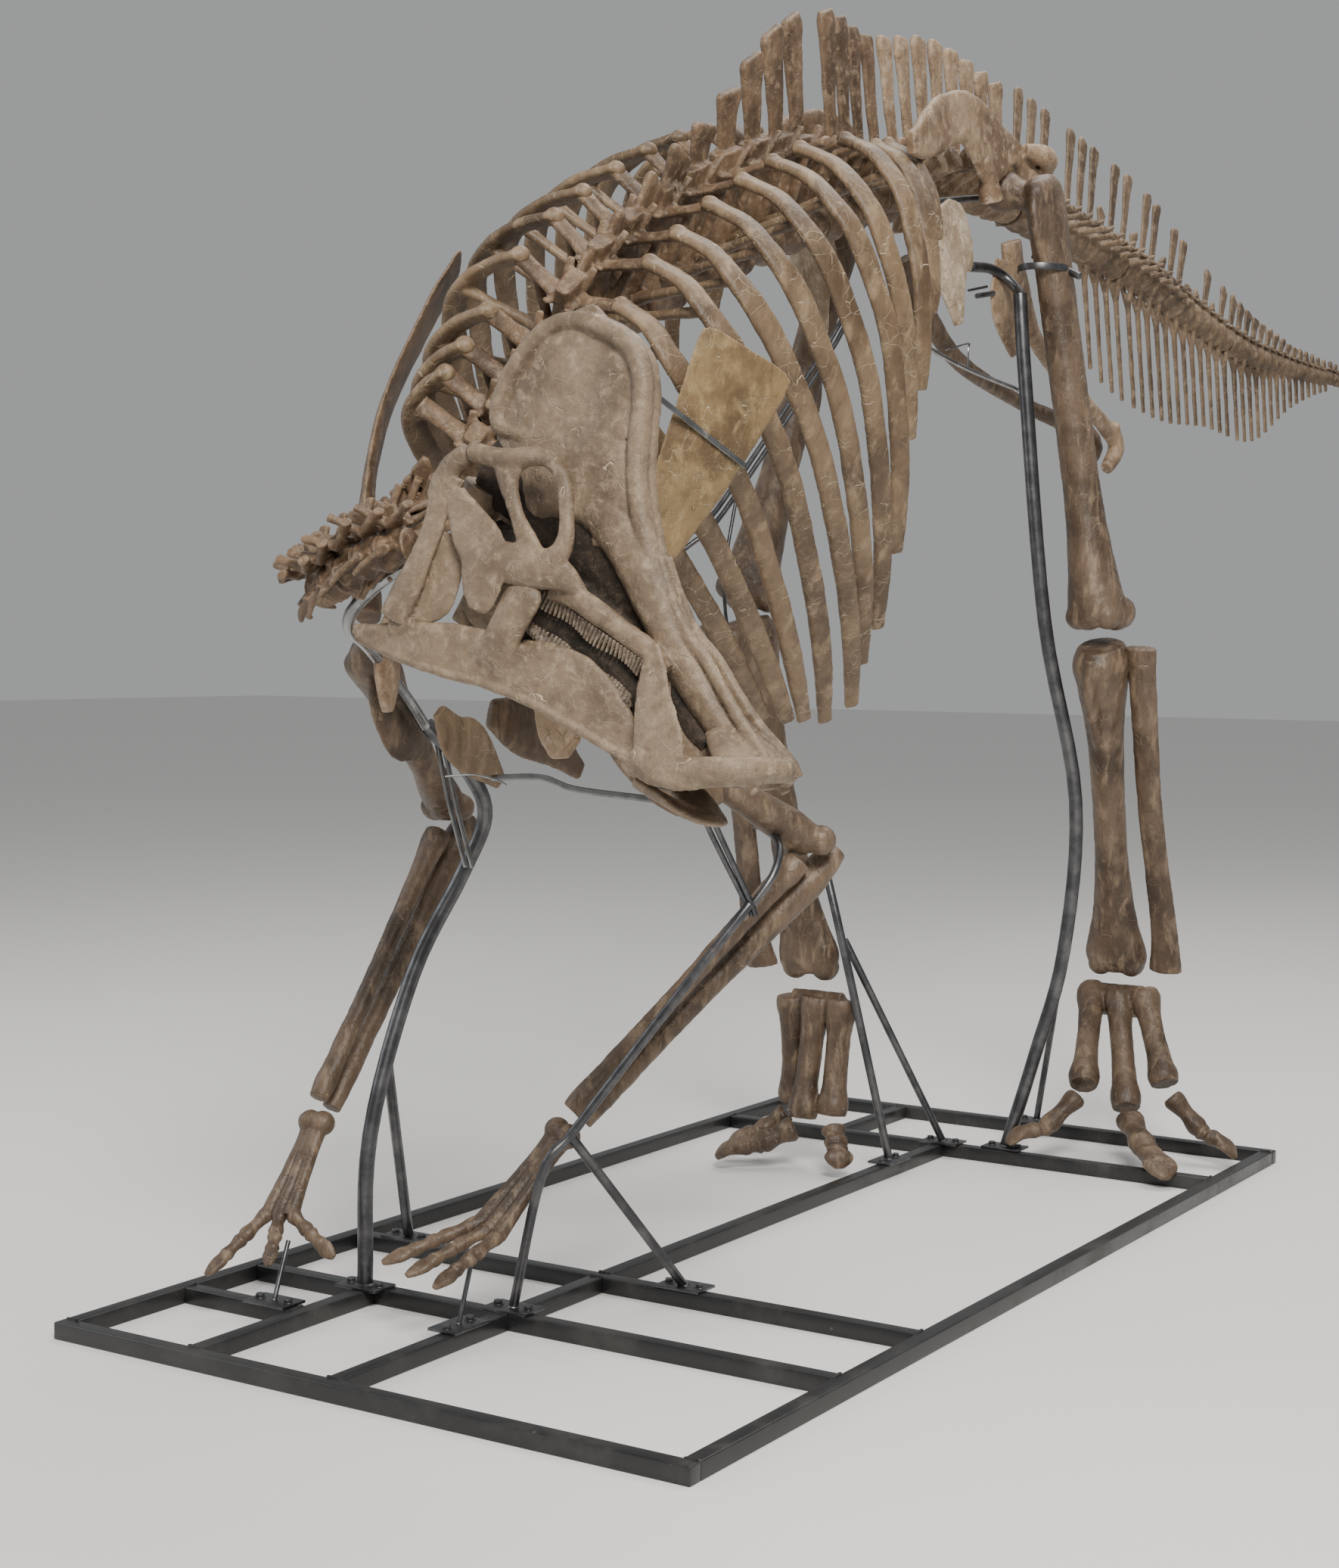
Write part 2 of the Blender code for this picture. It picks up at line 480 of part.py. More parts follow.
def trunk_vertebra(index, sides=(LEFT, RIGHT)):
    """Vertebra with its transverse processes on the given sides."""
    center, forward, up, left, _ = trunk(index)
    rise = float(spline(SPINE_KNOTS, CROSS_RISE, index))
    step = np.linalg.norm(trunk(max(index - 1, 1))[0] - trunk(max(index - 1, 1) + 1)[0])
    shells = vertebra(center, forward, up, left, step / 2 + 0.002, CENTRUM, max(rise, 0.09),
                      spine_tip(index), min(0.043, step * 0.37), 0.017)
    if index <= LAST_DORSAL:
        for side in sides:
            tip = cross_tip(index, side)
            root = center + up * rise * 0.75
            shells.append(loft([root, tip + left * side * 0.012], [0.026, 0.02], [0.017, 0.013],
                               forward, sides=6))
    return shells


def rib_path(index, side):
    """Centre line of a rib, from the transverse process down and back."""
    start = cross_tip(index, side)
    roll = CHEST_ROLL * math.radians(float(spline(SPINE_KNOTS, SPINE_ROLL, index)))
    upright = vec(math.sin(roll), 0, math.cos(roll))
    left = vec(math.cos(roll), 0, -math.sin(roll))
    drop_end = float(spline(RIB_KNOTS, RIB_DROP, index))
    rake = float(spline(RIB_KNOTS, RIB_RAKE, index))
    scale = np.interp(index, CHEST_SCALE_AT, CHEST_SCALE)
    drops = np.concatenate([[0.0, 0.03, 0.08, 0.14], np.linspace(0.22, drop_end, 6)])
    points = []
    for drop in drops:
        reach = (float(spline(CHEST_DROP, CHEST_HALF, drop)) - CROSS_REACH) * scale
        sweep = rake * max(drop - RIB_RAKE_START, 0) / (drop_end - RIB_RAKE_START)
        points.append(start + left * side * reach - upright * drop + Y * sweep)
    return np.array(points)


def rib(index, side):
    """Rib with its head at the centrum."""
    points = rib_path(index, side)
    count = len(points)
    t = np.linspace(0, 1, count)
    widths = RIB_HALF_WIDTH * np.interp(t, (0, 0.3, 0.85, 1), (1.15, 1.1, 0.95, 0.7))
    depths = RIB_HALF_DEPTH * np.interp(t, (0, 0.3, 0.85, 1), (1.15, 1.0, 1.0, 0.8))
    center, forward, up, left, _ = trunk(index)
    shells = [loft(points, widths, depths, RIB_FLAT[side], steps=2)]
    head = center + up * 0.06 + left * side * 0.035
    shells.append(loft([points[2], head], [0.017, 0.017], [0.013, 0.013], forward, sides=6))
    return shells


def half_space(side):
    """Solid that holds one side of the chest, up to the middle of the backbone."""
    levels = (-1.3, -0.1, 0.0, 0.15, 0.35, 0.7)
    stations = (-2, *range(1, LAST_DORSAL + 3, 2), LAST_DORSAL + 4)
    corners = []
    for index in stations:
        center, forward, _, _, upright = trunk(max(index, 1))
        center = center - forward * min(index - 1, 0) * 0.12
        inner = [center + X * side * CHEST_GAP / 2 + upright * level for level in levels]
        ring = [inner[-1] + X * side, inner[0] + X * side] + inner
        corners.extend(ring[::-1] if side == LEFT else ring)
    count = len(levels) + 2
    faces = [tuple(range(count))]
    for low in range(0, len(corners) - count, count):
        for k in range(count):
            after = (k + 1) % count
            faces.append((low + k, low + count + k, low + count + after, low + after))
    faces.append(tuple(range(len(corners) - count, len(corners)))[::-1])
    return helper(mesh_object(f"half_space_{SIDE_NAME[side]}", [(np.array(corners), faces)]))


def build_trunk():
    """Both sides of the rib cage with their halves of the backbone, and the sacrum."""
    for side in (LEFT, RIGHT):
        shells = []
        for index in range(1, LAST_DORSAL + 1):
            shells.extend(trunk_vertebra(index, (side,)))
        for index in RIB_VERTEBRAE:
            shells.extend(rib(index, side))
        make_bone(f"rib_cage_{SIDE_NAME[side]}", "rib_cage", shells, half_space(side))
    sacrum = []
    for index in range(LAST_DORSAL + 1, LAST_SACRAL + 1):
        sacrum.extend(trunk_vertebra(index))
        center, forward, up, left, _ = trunk(index)
        for side in (LEFT, RIGHT):
            reach = center + left * side * 0.135 + up * 0.06
            sacrum.append(loft([center, reach], [0.025, 0.022], [0.03, 0.035], forward, sides=6))
    forward = trunk(LAST_DORSAL + 1)[1]
    gap = forward * (JOINT_GAP + 0.006)
    sacrum = [(points - gap, faces) for points, faces in sacrum]
    make_bone("sacrum", "sacrum", sacrum)


# ------------------------------------------------------------------------------- neck
def neck(t):
    """Centre, forward, up and left on the neck: t runs from 0 at the chest to 1 at the skull."""
    knots = np.linspace(0, 1, len(NECK_PATH))
    center = spline(knots, NECK_PATH, t)
    forward = unit(spline(knots, NECK_PATH, min(t + 0.02, 1)) - spline(knots, NECK_PATH,
                                                                       max(t - 0.02, 0)))
    up = spline(knots, NECK_UP, t)
    up = unit(up - (up @ forward) * forward)
    return center, forward, up, np.cross(up, forward)


def neck_vertebra(number):
    """Vertebra with its joint processes, side stubs and short ribs."""
    t = (number + 0.5) / NECK_VERTEBRAE
    center, forward, up, left = neck(t)
    ends = [neck(number / NECK_VERTEBRAE)[0], neck((number + 1) / NECK_VERTEBRAE)[0]]
    half = np.linalg.norm(ends[1] - ends[0]) / 2 + 0.003
    height = np.interp(t, (0, 0.2, 0.85, 0.93, 1), (0.13, 0.085, 0.075, 0.11, 0.06))
    shells = vertebra(center, forward, up, left, half, 0.036, 0.055,
                      center + up * height - forward * 0.015, 0.022, 0.010)
    for side in (LEFT, RIGHT):
        out = left * side
        for reach in (0.062, -0.05) if number else (0.062,):
            root = center + up * 0.045 + out * 0.02
            tip = center + up * (0.078 - reach * 0.2) + out * 0.047 + forward * reach
            shells.append(loft([root, tip], [0.018, 0.010], [0.012, 0.009], out, sides=6))
        stub = center + out * 0.058 - up * 0.005
        shells.append(loft([center + up * 0.01, stub], [0.016, 0.012], [0.012, 0.010], forward,
                           sides=6))
        if number:
            shells.append(loft([stub - out * 0.01, stub - forward * 0.07 - up * 0.03], [0.011, 0.006],
                               [0.009, 0.006], out, sides=6))
    return shells


def build_neck():
    """The neck in two parts."""
    halves = {"neck_rear": range(0, 6), "neck_front": range(6, NECK_VERTEBRAE)}
    for name, numbers in halves.items():
        shells = []
        for number in numbers:
            shells.extend(neck_vertebra(number))
        if name == "neck_front":
            shift = neck(6 / NECK_VERTEBRAE)[1] * JOINT_GAP * 5
            shells = [(points + shift, faces) for points, faces in shells]
        make_bone(name, "neck", shells)


# ------------------------------------------------------------------------------- tail
def tail(index):
    """Centre, forward and up at a tail vertebra."""
    center = vec(MIDLINE, float(spline(TAIL_KNOTS, TAIL_Y, index)),
                 float(spline(TAIL_KNOTS, TAIL_Z, index)))
    rise = float(spline(TAIL_KNOTS, TAIL_Z, index + 0.4)) - float(spline(TAIL_KNOTS, TAIL_Z,
                                                                         index - 0.4))
    run = float(spline(TAIL_KNOTS, TAIL_Y, index + 0.4)) - float(spline(TAIL_KNOTS, TAIL_Y,
                                                                        index - 0.4))
    forward = -unit(vec(0, run, rise))
    return center, forward, np.cross(forward, X)


def tail_vertebra(index):
    """Tail vertebra with side processes near the hips and a chevron where the tail bears them."""
    center, forward, up = tail(index)
    step = np.linalg.norm(tail(min(index + 1, TAIL_VERTEBRAE))[0] - tail(min(index,
                                                                             TAIL_VERTEBRAE - 1))[0])
    radius = float(spline(TAIL_KNOTS, TAIL_CENTRUM, index))
    height = float(spline(TAIL_KNOTS, TAIL_HEIGHT, index))
    if index in TAIL_BROKEN_SPINES:
        height = height * 0.45
    lean = float(spline(TAIL_KNOTS, TAIL_LEAN, index))
    tip = center + unit(Z + Y * lean) * height
    shells = vertebra(center, forward, up, X, step / 2 + 0.002, radius, radius * 1.55, tip,
                      min(0.026, step * 0.32), 0.009)
    if index <= LAST_CROSS:
        for side in (LEFT, RIGHT):
            reach = X * side * np.interp(index, (1, LAST_CROSS), (0.15, 0.06))
            shells.append(loft([center, center + reach + Z * 0.01], [0.022, 0.014], [0.014, 0.010],
                               forward, sides=6))
    if FIRST_CHEVRON <= index <= LAST_CHEVRON:
        depth = float(spline(TAIL_KNOTS, TAIL_DEPTH, index))
        root = center - forward * step / 2
        low = root - Z * depth + Y * depth * 0.22
        shells.append(loft([root, lerp(root, low, 0.3), low], [0.013, 0.011, 0.009],
                           [0.017, 0.009, 0.008], forward, sides=6))
    return shells


def build_tail():
    """The tail in four parts."""
    for number, (first, last) in enumerate(TAIL_PARTS):
        shells = []
        for index in range(first, last + 1):
            shells.extend(tail_vertebra(index))
        shift = -tail(first)[1] * TAIL_GAPS[number]
        shells = [(points + shift, faces) for points, faces in shells]
        name = f"tail_{number + 1}"
        make_bone(name, name, shells)


# ----------------------------------------------------------------------------- pelvis
def plate(outline, thickness, x):
    """Upright plate: stations of (y, low z, high z), `x` at each, half `thickness`."""
    outline = np.array(outline)
    points = np.stack([np.broadcast_to(x, len(outline)), outline[:, 0], outline[:, 1:].mean(1)], axis=1)
    half = (outline[:, 2] - outline[:, 1]) / 2
    return loft(points, half, thickness, Z, steps=2, power=2.6)


def build_pelvis():
    """Ilium and pubis of both sides, and the two ischia, which differ."""
    for side in (LEFT, RIGHT):
        name = SIDE_NAME[side]
        at = MIDLINE + side * ILIUM_OFFSET
        flare = np.interp([station[0] for station in ILIUM], (1.86, 2.1, 2.5, 2.85),
                          (0.03, 0.01, 0.0, -0.01))
        shells = [plate(ILIUM, 0.016, at + side * flare)]
        for foot, top in (((2.385, 2.54), (2.34, 2.66)), ((2.655, 2.535), (2.63, 2.66))):
            shells.append(loft([vec(at, foot[0], foot[1]), vec(at, top[0], top[1])], [0.034, 0.05],
                               [0.032, 0.02], Y))
        crest = [vec(at + side * 0.01, 2.56, 2.70), vec(at + side * 0.045, 2.63, 2.69),
                 vec(at + side * 0.01, 2.70, 2.665)]
        shells.append(loft(crest, [0.02, 0.03, 0.02], [0.02, 0.026, 0.02], Z))
        make_bone(f"ilium_{name}", "ilium", shells)

        wing = [vec(at, y, z) for y, z in PUBIS_LINE]
        shells = [loft(wing, [0.03, 0.10, 0.125, 0.10, 0.06, 0.02],
                       [0.012, 0.014, 0.015, 0.014, 0.012, 0.010], Y, steps=2)]
        make_bone(f"pubis_{name}", "pubis", shells)

    # Left ischium, mended: a block at the socket, a plate and the long rod with its hooked end.
    at = 0.115
    shells = [loft([vec(at, 2.575, 2.47), vec(at, 2.60, 2.40), vec(at, 2.66, 2.32)],
                   [0.05, 0.055, 0.05],
                   [0.022, 0.018, 0.016], Y)]
    shells.append(loft([vec(at, 2.53, 2.37), vec(at, 2.58, 2.27), vec(at, 2.655, 2.18)],
                       [0.07, 0.055, 0.02],
                       [0.013, 0.012, 0.010], Y))
    shells.append(loft([vec(at, 2.63, 2.38), vec(at, 2.76, 2.22), vec(0.11, 3.12, 2.09),
                        vec(0.10, 3.34, 2.015)],
                       [0.04, 0.028, 0.022, 0.03], [0.016, 0.018, 0.018, 0.02], Z, steps=2))
    shells.append(loft([vec(0.10, 3.33, 2.045), vec(0.10, 3.37, 1.98), vec(0.095, 3.31, 1.92)],
                       [0.03, 0.034, 0.022],
                       [0.022, 0.022, 0.018], Y))
    make_bone("ischium_left", "ischium_left", shells)
    # Right ischium, whose rod swings in towards the midline.
    at = -0.20
    shells = [loft([vec(at, 2.575, 2.45), vec(at, 2.62, 2.36), vec(-0.17, 2.68, 2.26)],
                   [0.05, 0.055, 0.04],
                   [0.022, 0.018, 0.018], Y)]
    shells.append(loft([vec(-0.175, 2.67, 2.30), vec(-0.15, 2.83, 2.19), vec(-0.09, 3.13, 2.10),
                        vec(0.02, 3.33, 2.03)],
                       [0.04, 0.028, 0.022, 0.03], [0.016, 0.018, 0.018, 0.02], Z, steps=2))
    shells.append(loft([vec(0.02, 3.32, 2.05), vec(0.04, 3.36, 1.99), vec(0.035, 3.30, 1.93)],
                       [0.03, 0.034, 0.022],
                       [0.018, 0.018, 0.016], Y))
    make_bone("ischium_right", "ischium_right", shells)


# ------------------------------------------------------------------------- hind limbs
def shaft(a, b, stations, side, steps=1, bow=None):
    """Long bone from a to b: stations of (t, half width, half depth)."""
    bow = np.zeros(3) if bow is None else bow
    points = [lerp(a, b, t) + bow * math.sin(math.pi * min(max(t, 0), 1)) for t, _, _ in stations]
    return loft(points, [w for _, w, _ in stations], [d for _, _, d in stations], side, steps=steps)


def facing(line):
    """Direction square to a limb bone that looks to the front of the animal."""
    front = unit(np.cross(X, line))
    return front if front[1] < 0 else -front


def build_hind(side):
    """Femur, tibia, fibula, metatarsus and toes of one side."""
    joints = {key: np.array(value) for key, value in HIND[side].items()}
    name = SIDE_NAME[side]
    top, knee, ankle = joints["top"], joints["knee"], joints["ankle"]
    down = unit(knee - top)
    front = facing(down)
    # Femur: trochanter, neck and ball, shaft with its rear flange, two condyles.
    shells = [shaft(top, knee - down * 0.02, FEMUR_SHAFT, front)]
    ball = joints["hip"]
    shells.append(loft([lerp(top, knee, 0.06), ball], [0.05, 0.05], [0.045, 0.045], front))
    shells.append(knob(ball, X * side, 0.055, front))
    rear = -front
    flange = [lerp(top, knee, t) + rear * r for t, r in ((0.40, 0.03), (0.46, 0.07), (0.52, 0.075),
                                                         (0.60, 0.03))]
    shells.append(loft(flange, [0.03, 0.035, 0.035, 0.03], [0.014, 0.016, 0.016, 0.014], rear))
    for offset in (-0.04, 0.04):
        shells.append(knob(knee - down * 0.055 + X * offset + rear * 0.035, front, 0.05, X, 1.3))
    make_bone(f"femur_{name}", "femur", shells)

    # Shank.
    down = unit(ankle - knee)
    front = facing(down)
    start = knee + down * 0.03
    end = ankle - down * 0.03
    shells = [shaft(start, end, TIBIA_SHAFT, X)]
    crest = [lerp(start, end, t) + front * r for t, r in ((0.02, 0.07), (0.1, 0.085), (0.2, 0.065),
                                                          (0.3, 0.035))]
    shells.append(loft(crest, [0.02, 0.03, 0.03, 0.02], [0.02, 0.02, 0.02, 0.015], front))
    shells.append(loft([end - down * 0.05 - X * 0.07, end - down * 0.01 + X * 0.07 - down * 0.04],
                       [0.04, 0.045], [0.035, 0.04], down))
    make_bone(f"tibia_{name}", "tibia", shells)
    outer = X * side * 0.108 - front * 0.01
    low = X * side * 0.155 + front * 0.01
    points = [start + outer + down * 0.01, lerp(start, end, 0.12) + outer,
              lerp(start, end, 0.5) + X * side * 0.14,
              lerp(start, end, 0.85) + low, end + low - down * 0.005]
    shells = [loft(points, [0.036, 0.032, 0.029, 0.032, 0.040], [0.018, 0.016, 0.016, 0.018, 0.024], X,
                   steps=2)]
    make_bone(f"fibula_{name}", "fibula", shells)

    # Foot: three metatarsals joined at their tops, then the toes.
    splay = unit(joints["splay"])
    across = unit(np.cross(Z, splay))
    tops = {"II": -side, "III": 0, "IV": side}
    shells = []
    top = ankle + down * 0.045
    for toe, shift in tops.items():
        base = np.array(HIND[side][toe][0])
        upper = top + X * shift * 0.075
        line = unit(base - upper)
        shells.append(shaft(upper, base - line * 0.012, METATARSAL_SHAFT, across))
    shells.append(loft([top - X * 0.075 + down * 0.03, top + X * 0.075 + down * 0.03], [0.05, 0.05],
                       [0.03, 0.03], down))
    make_bone(f"metatarsus_{name}", "metatarsus", shells)
    for toe in tops:
        base, mid, tip = (np.array(p) for p in HIND[side][toe])
        line = unit(mid - base)
        start = base + line * 0.022 + vec(0, 0, -0.005)
        flat = unit(np.cross(Z, tip - base))
        path = [start, lerp(start, mid, 0.5), mid, lerp(mid, tip, 0.35), lerp(mid, tip, 0.75),
                tip - Z * 0.022]
        path = [vec(x, y, max(z, TOE_FLOOR)) for x, y, z in path]
        size = 1.0 if toe == "III" else OUTER_TOE_SIZE
        shells = [loft(path, TOE_WIDTHS * size, TOE_DEPTHS * size, flat, steps=2)]
        make_bone(f"toe_{toe}_{name}", "toe", shells)


# ------------------------------------------------------------------------- fore limbs
def build_fore(side):
    """Shoulder blade, coracoid, humerus, forearm and hand of one side."""
    joints = {key: np.array(value) for key, value in FORE[side].items()}
    name = SIDE_NAME[side]
    shoulder, elbow, wrist, palm = (joints[key] for key in ("shoulder", "elbow", "wrist", "palm"))
    blade = joints["blade_top"]
    rise = unit(blade - shoulder)
    flat = joints["blade_side"]
    out = unit(np.cross(flat, rise)) * side
    base = shoulder + rise * 0.06
    shells = [shaft(base, blade, SCAPULA_BLADE, flat, steps=2, bow=out * BLADE_BOW[side])]
    make_bone(f"scapula_{name}", "scapula", shells)

    ahead = -Y
    at = np.array(CORACOID_AT[side])
    inward = -X * side
    shells = [loft([at + Z * 0.09 + Y * 0.02, at + Z * 0.03, at - Z * 0.06, at - Z * 0.11],
                   [0.03, 0.062, 0.055, 0.02],
                   [0.014, 0.024, 0.018, 0.012], ahead + inward * 0.35, steps=2)]
    make_bone(f"coracoid_{name}", "coracoid", shells)

    # Humerus with its long chest-muscle crest.
    line = unit(elbow - shoulder)
    front = facing(line)
    start = shoulder + line * 0.035
    stop = elbow - line * 0.03
    shells = [shaft(start, stop, HUMERUS_SHAFT, X)]
    crest = [lerp(start, stop, t) + front * r * CREST_REACH[side] + X * 0.02 for t, r in
             ((0.06, 0.4), (0.20, 0.85), (0.42, 1.0), (0.56, 0.4))]
    shells.append(loft(crest, [0.035, 0.052, 0.055, 0.022], [0.016, 0.019, 0.021, 0.015], front))
    for offset in (-0.035, 0.035):
        shells.append(knob(stop - line * 0.01 + X * offset, X, 0.033, line))
    make_bone(f"humerus_{name}", "humerus", shells)

    # Forearm: ulna behind, radius before it.
    line = unit(wrist - elbow)
    front = facing(line)
    back = elbow - front * 0.045
    shells = [shaft(back - line * 0.03, wrist - front * 0.026 - line * 0.012, ULNA_SHAFT, X)]
    make_bone(f"ulna_{name}", "ulna", shells)
    shells = [shaft(elbow + front * 0.026 + line * 0.052, wrist + front * 0.024 - line * 0.012,
                    RADIUS_SHAFT, X)]
    make_bone(f"radius_{name}", "radius", shells)

    # Hand: wrist block, three long metacarpals and the fingers, joined as one.
    line = unit(palm - wrist)
    start = wrist + line * 0.012
    across = unit(np.cross(line, front))
    if across @ X < 0:
        across = -across
    shells = [loft([start, start + line * 0.05], [0.038, 0.040], [0.026, 0.026], across)]
    for number, tip in enumerate(joints["fingers"]):
        shift = across * (number - 1) * 0.030
        knuckle = palm + shift
        shells.append(loft([start + line * 0.02 + shift * 0.6, lerp(start, knuckle, 0.5) + shift * 0.2,
                            knuckle],
                           [0.018, 0.014, 0.018], [0.018, 0.013, 0.017], across))
        tip = np.array(tip)
        shells.append(loft([knuckle - line * 0.01, lerp(knuckle, tip, 0.35), lerp(knuckle, tip, 0.7),
                            tip],
                           [0.018, 0.014, 0.019, 0.009], [0.016, 0.012, 0.011, 0.006], across, steps=2))
    make_bone(f"hand_{name}", "hand", shells)


def build_breast():
    """The two sternal plates."""
    right = [vec(-0.22, 0.56, 1.255), vec(-0.22, 0.61, 1.20), vec(-0.22, 0.68, 1.17),
             vec(-0.22, 0.77, 1.10)]
    across = vec(0, 0.5, 0.86)
    depths = [0.012, 0.014, 0.014, 0.012]
    make_bone("sternal_right", "sternal_right", [loft(right, [0.02, 0.05, 0.06, 0.02], depths, across,
                                                      steps=2)])
    left = [vec(-0.03, 0.48, 1.255), vec(-0.02, 0.56, 1.23), vec(-0.02, 0.66, 1.20),
            vec(-0.01, 0.765, 1.13)]
    make_bone("sternal_left", "sternal_left", [loft(left, [0.03, 0.06, 0.055, 0.02], depths, across,
                                                    steps=2)])


# ------------------------------------------------------------------------------ skull
def head(s, u, r=0.0):
    """A point by its place ahead of, above and to the right of the head's middle."""
    return SKULL_AT + SKULL_FORWARD * s + SKULL_UP * u + SKULL_RIGHT * r


def bar(points, widths, depths, side=SKULL_FORWARD, steps=1, mirror=1):
    """Closed tube in the head's own axes; `mirror` -1 puts it on the left of the head."""
    places = [head(*point[:2], *(mirror * r for r in point[2:])) for point in points]
    return loft(places, widths, depths, side, steps=steps)


def build_skull():
    """Skull with its helmet crest and flared beak, and the lower jaw."""
    points = [head((rear + front) / 2, height) for height, rear, front, _ in CREST]
    half = [(front - rear) / 2 for _, rear, front, _ in CREST]
    shells = [loft(points, half, [thick for *_, thick in CREST], SKULL_FORWARD, sides=14)]
    points = [head(s, (low + high) / 2) for s, low, high, _ in SNOUT]
    half = [(high - low) / 2 for _, low, high, _ in SNOUT]
    shells.append(loft(points, half, [thick for *_, thick in SNOUT], SKULL_UP, sides=10, power=2.4))
    # Braincase and palate fill the middle.
    braincase = ((-0.24, -0.03), (-0.12, -0.02), (0.06, -0.03))
    shells.append(bar(braincase, (0.05, 0.065, 0.07), (0.05, 0.06, 0.05), SKULL_UP))
    shells.append(bar(((-0.20, -0.06), (-0.205, -0.11)), (0.05, 0.045), (0.05, 0.045)))
    palate = ((-0.16, -0.09), (0.02, -0.13), (0.20, -0.14))
    shells.append(bar(palate, (0.05, 0.055, 0.045), (0.035, 0.04, 0.04), SKULL_UP))
    for mirror in (-1, 1):
        for points, widths, depths, side, steps in SKULL_BARS:
            shells.append(bar(points, widths, depths, side, steps, mirror))
    beak_roof = ((0.32, -0.24), (0.45, -0.27), (0.55, -0.25))
    shells.append(bar(beak_roof, (0.05, 0.08, 0.08), (0.02, 0.018, 0.018), SKULL_RIGHT))
    make_bone("skull", "skull", shells)

    shells = []
    for mirror in (-1, 1):
        for points, widths, depths, side, steps in JAW_BARS:
            shells.append(bar(points, widths, depths, side, steps, mirror))
    chin = ((0.33, -0.332, -0.07), (0.345, -0.34, 0.0), (0.33, -0.332, 0.07))
    shells.append(bar(chin, (0.03, 0.045, 0.03), (0.014, 0.016, 0.014)))
    scoop = ((0.35, -0.345, -0.06), (0.43, -0.352, 0.0), (0.35, -0.345, 0.06))
    shells.append(bar(scoop, (0.03, 0.05, 0.03), (0.010, 0.012, 0.010), steps=2))
    make_bone("mandible", "mandible", shells)


# ------------------------------------------------------------------------------ mount
def frame_tube(start, end):
    """Square tube on the floor between two points of its centre line."""
    start, end = vec(*start, TUBE / 2), vec(*end, TUBE / 2)
    run = end - start
    return block((start + end) / 2, (np.linalg.norm(run), TUBE, TUBE),
                 (unit(run), np.cross(Z, unit(run)), Z))


def build_frame():
    """Welded floor frame of square tube."""
    edge = TUBE / 2
    wide = FRAME_WIDTH / 2
    rail = wide - edge
    bars = [frame_tube((-rail, edge), (-rail, FRAME_LENGTH - edge)),
            frame_tube((rail, edge), (rail, FRAME_LENGTH - edge)),
            frame_tube((-wide, edge), (wide, edge)), frame_tube((-wide, FRAME_LENGTH - edge),
                                                                (wide, FRAME_LENGTH - edge))]
    for y in CROSS_BARS.values():
        bars.append(frame_tube((-rail, y), (rail, y)))
    bars.append(frame_tube((-rail, SHORT_BAR_Y), (INNER_RAIL_X, SHORT_BAR_Y)))
    bars.append(frame_tube((INNER_RAIL_X, edge), (INNER_RAIL_X, CROSS_BARS["second"])))
    bars.append(frame_tube((MIDLINE, edge), (MIDLINE, CROSS_BARS["fourth"])))
    bars.append(frame_tube((REAR_RAIL_X, CROSS_BARS["fourth"]), (REAR_RAIL_X, FRAME_LENGTH - edge)))
    make_steel("floor_frame", bars, "frame_paint")


def foot_plate(x, y, along=Y):
    """Bolted plate with two hexagon heads on a floor tube."""
    low = TUBE + PLATE_CLEARANCE
    across = np.cross(Z, along)
    shells = [block(vec(x, y, low + PLATE[2] / 2), PLATE, (across, along, Z))]
    for end in (-1, 1):
        at = vec(x, y, low + PLATE[2] - 0.001) + along * end * BOLT_OFFSET
        shells.append(loft([at, at + Z * BOLT_HEIGHT], BOLT_RADIUS, BOLT_RADIUS, X, sides=6))
    return shells


def tube(points, radius, steps=1, sides=6):
    """Round post that leaves its foot plate upright."""
    knots = np.arange(len(points))
    points = spline(knots, points, np.linspace(0, knots[-1], knots[-1] * steps + 1))
    points = np.insert(points, 1, points[0] + Z * POST_START, axis=0)
    run = unit(points[-1] - points[0])
    side = X if abs(run @ X) < 0.8 else Y
    return loft(points, radius, radius, side, sides=sides)


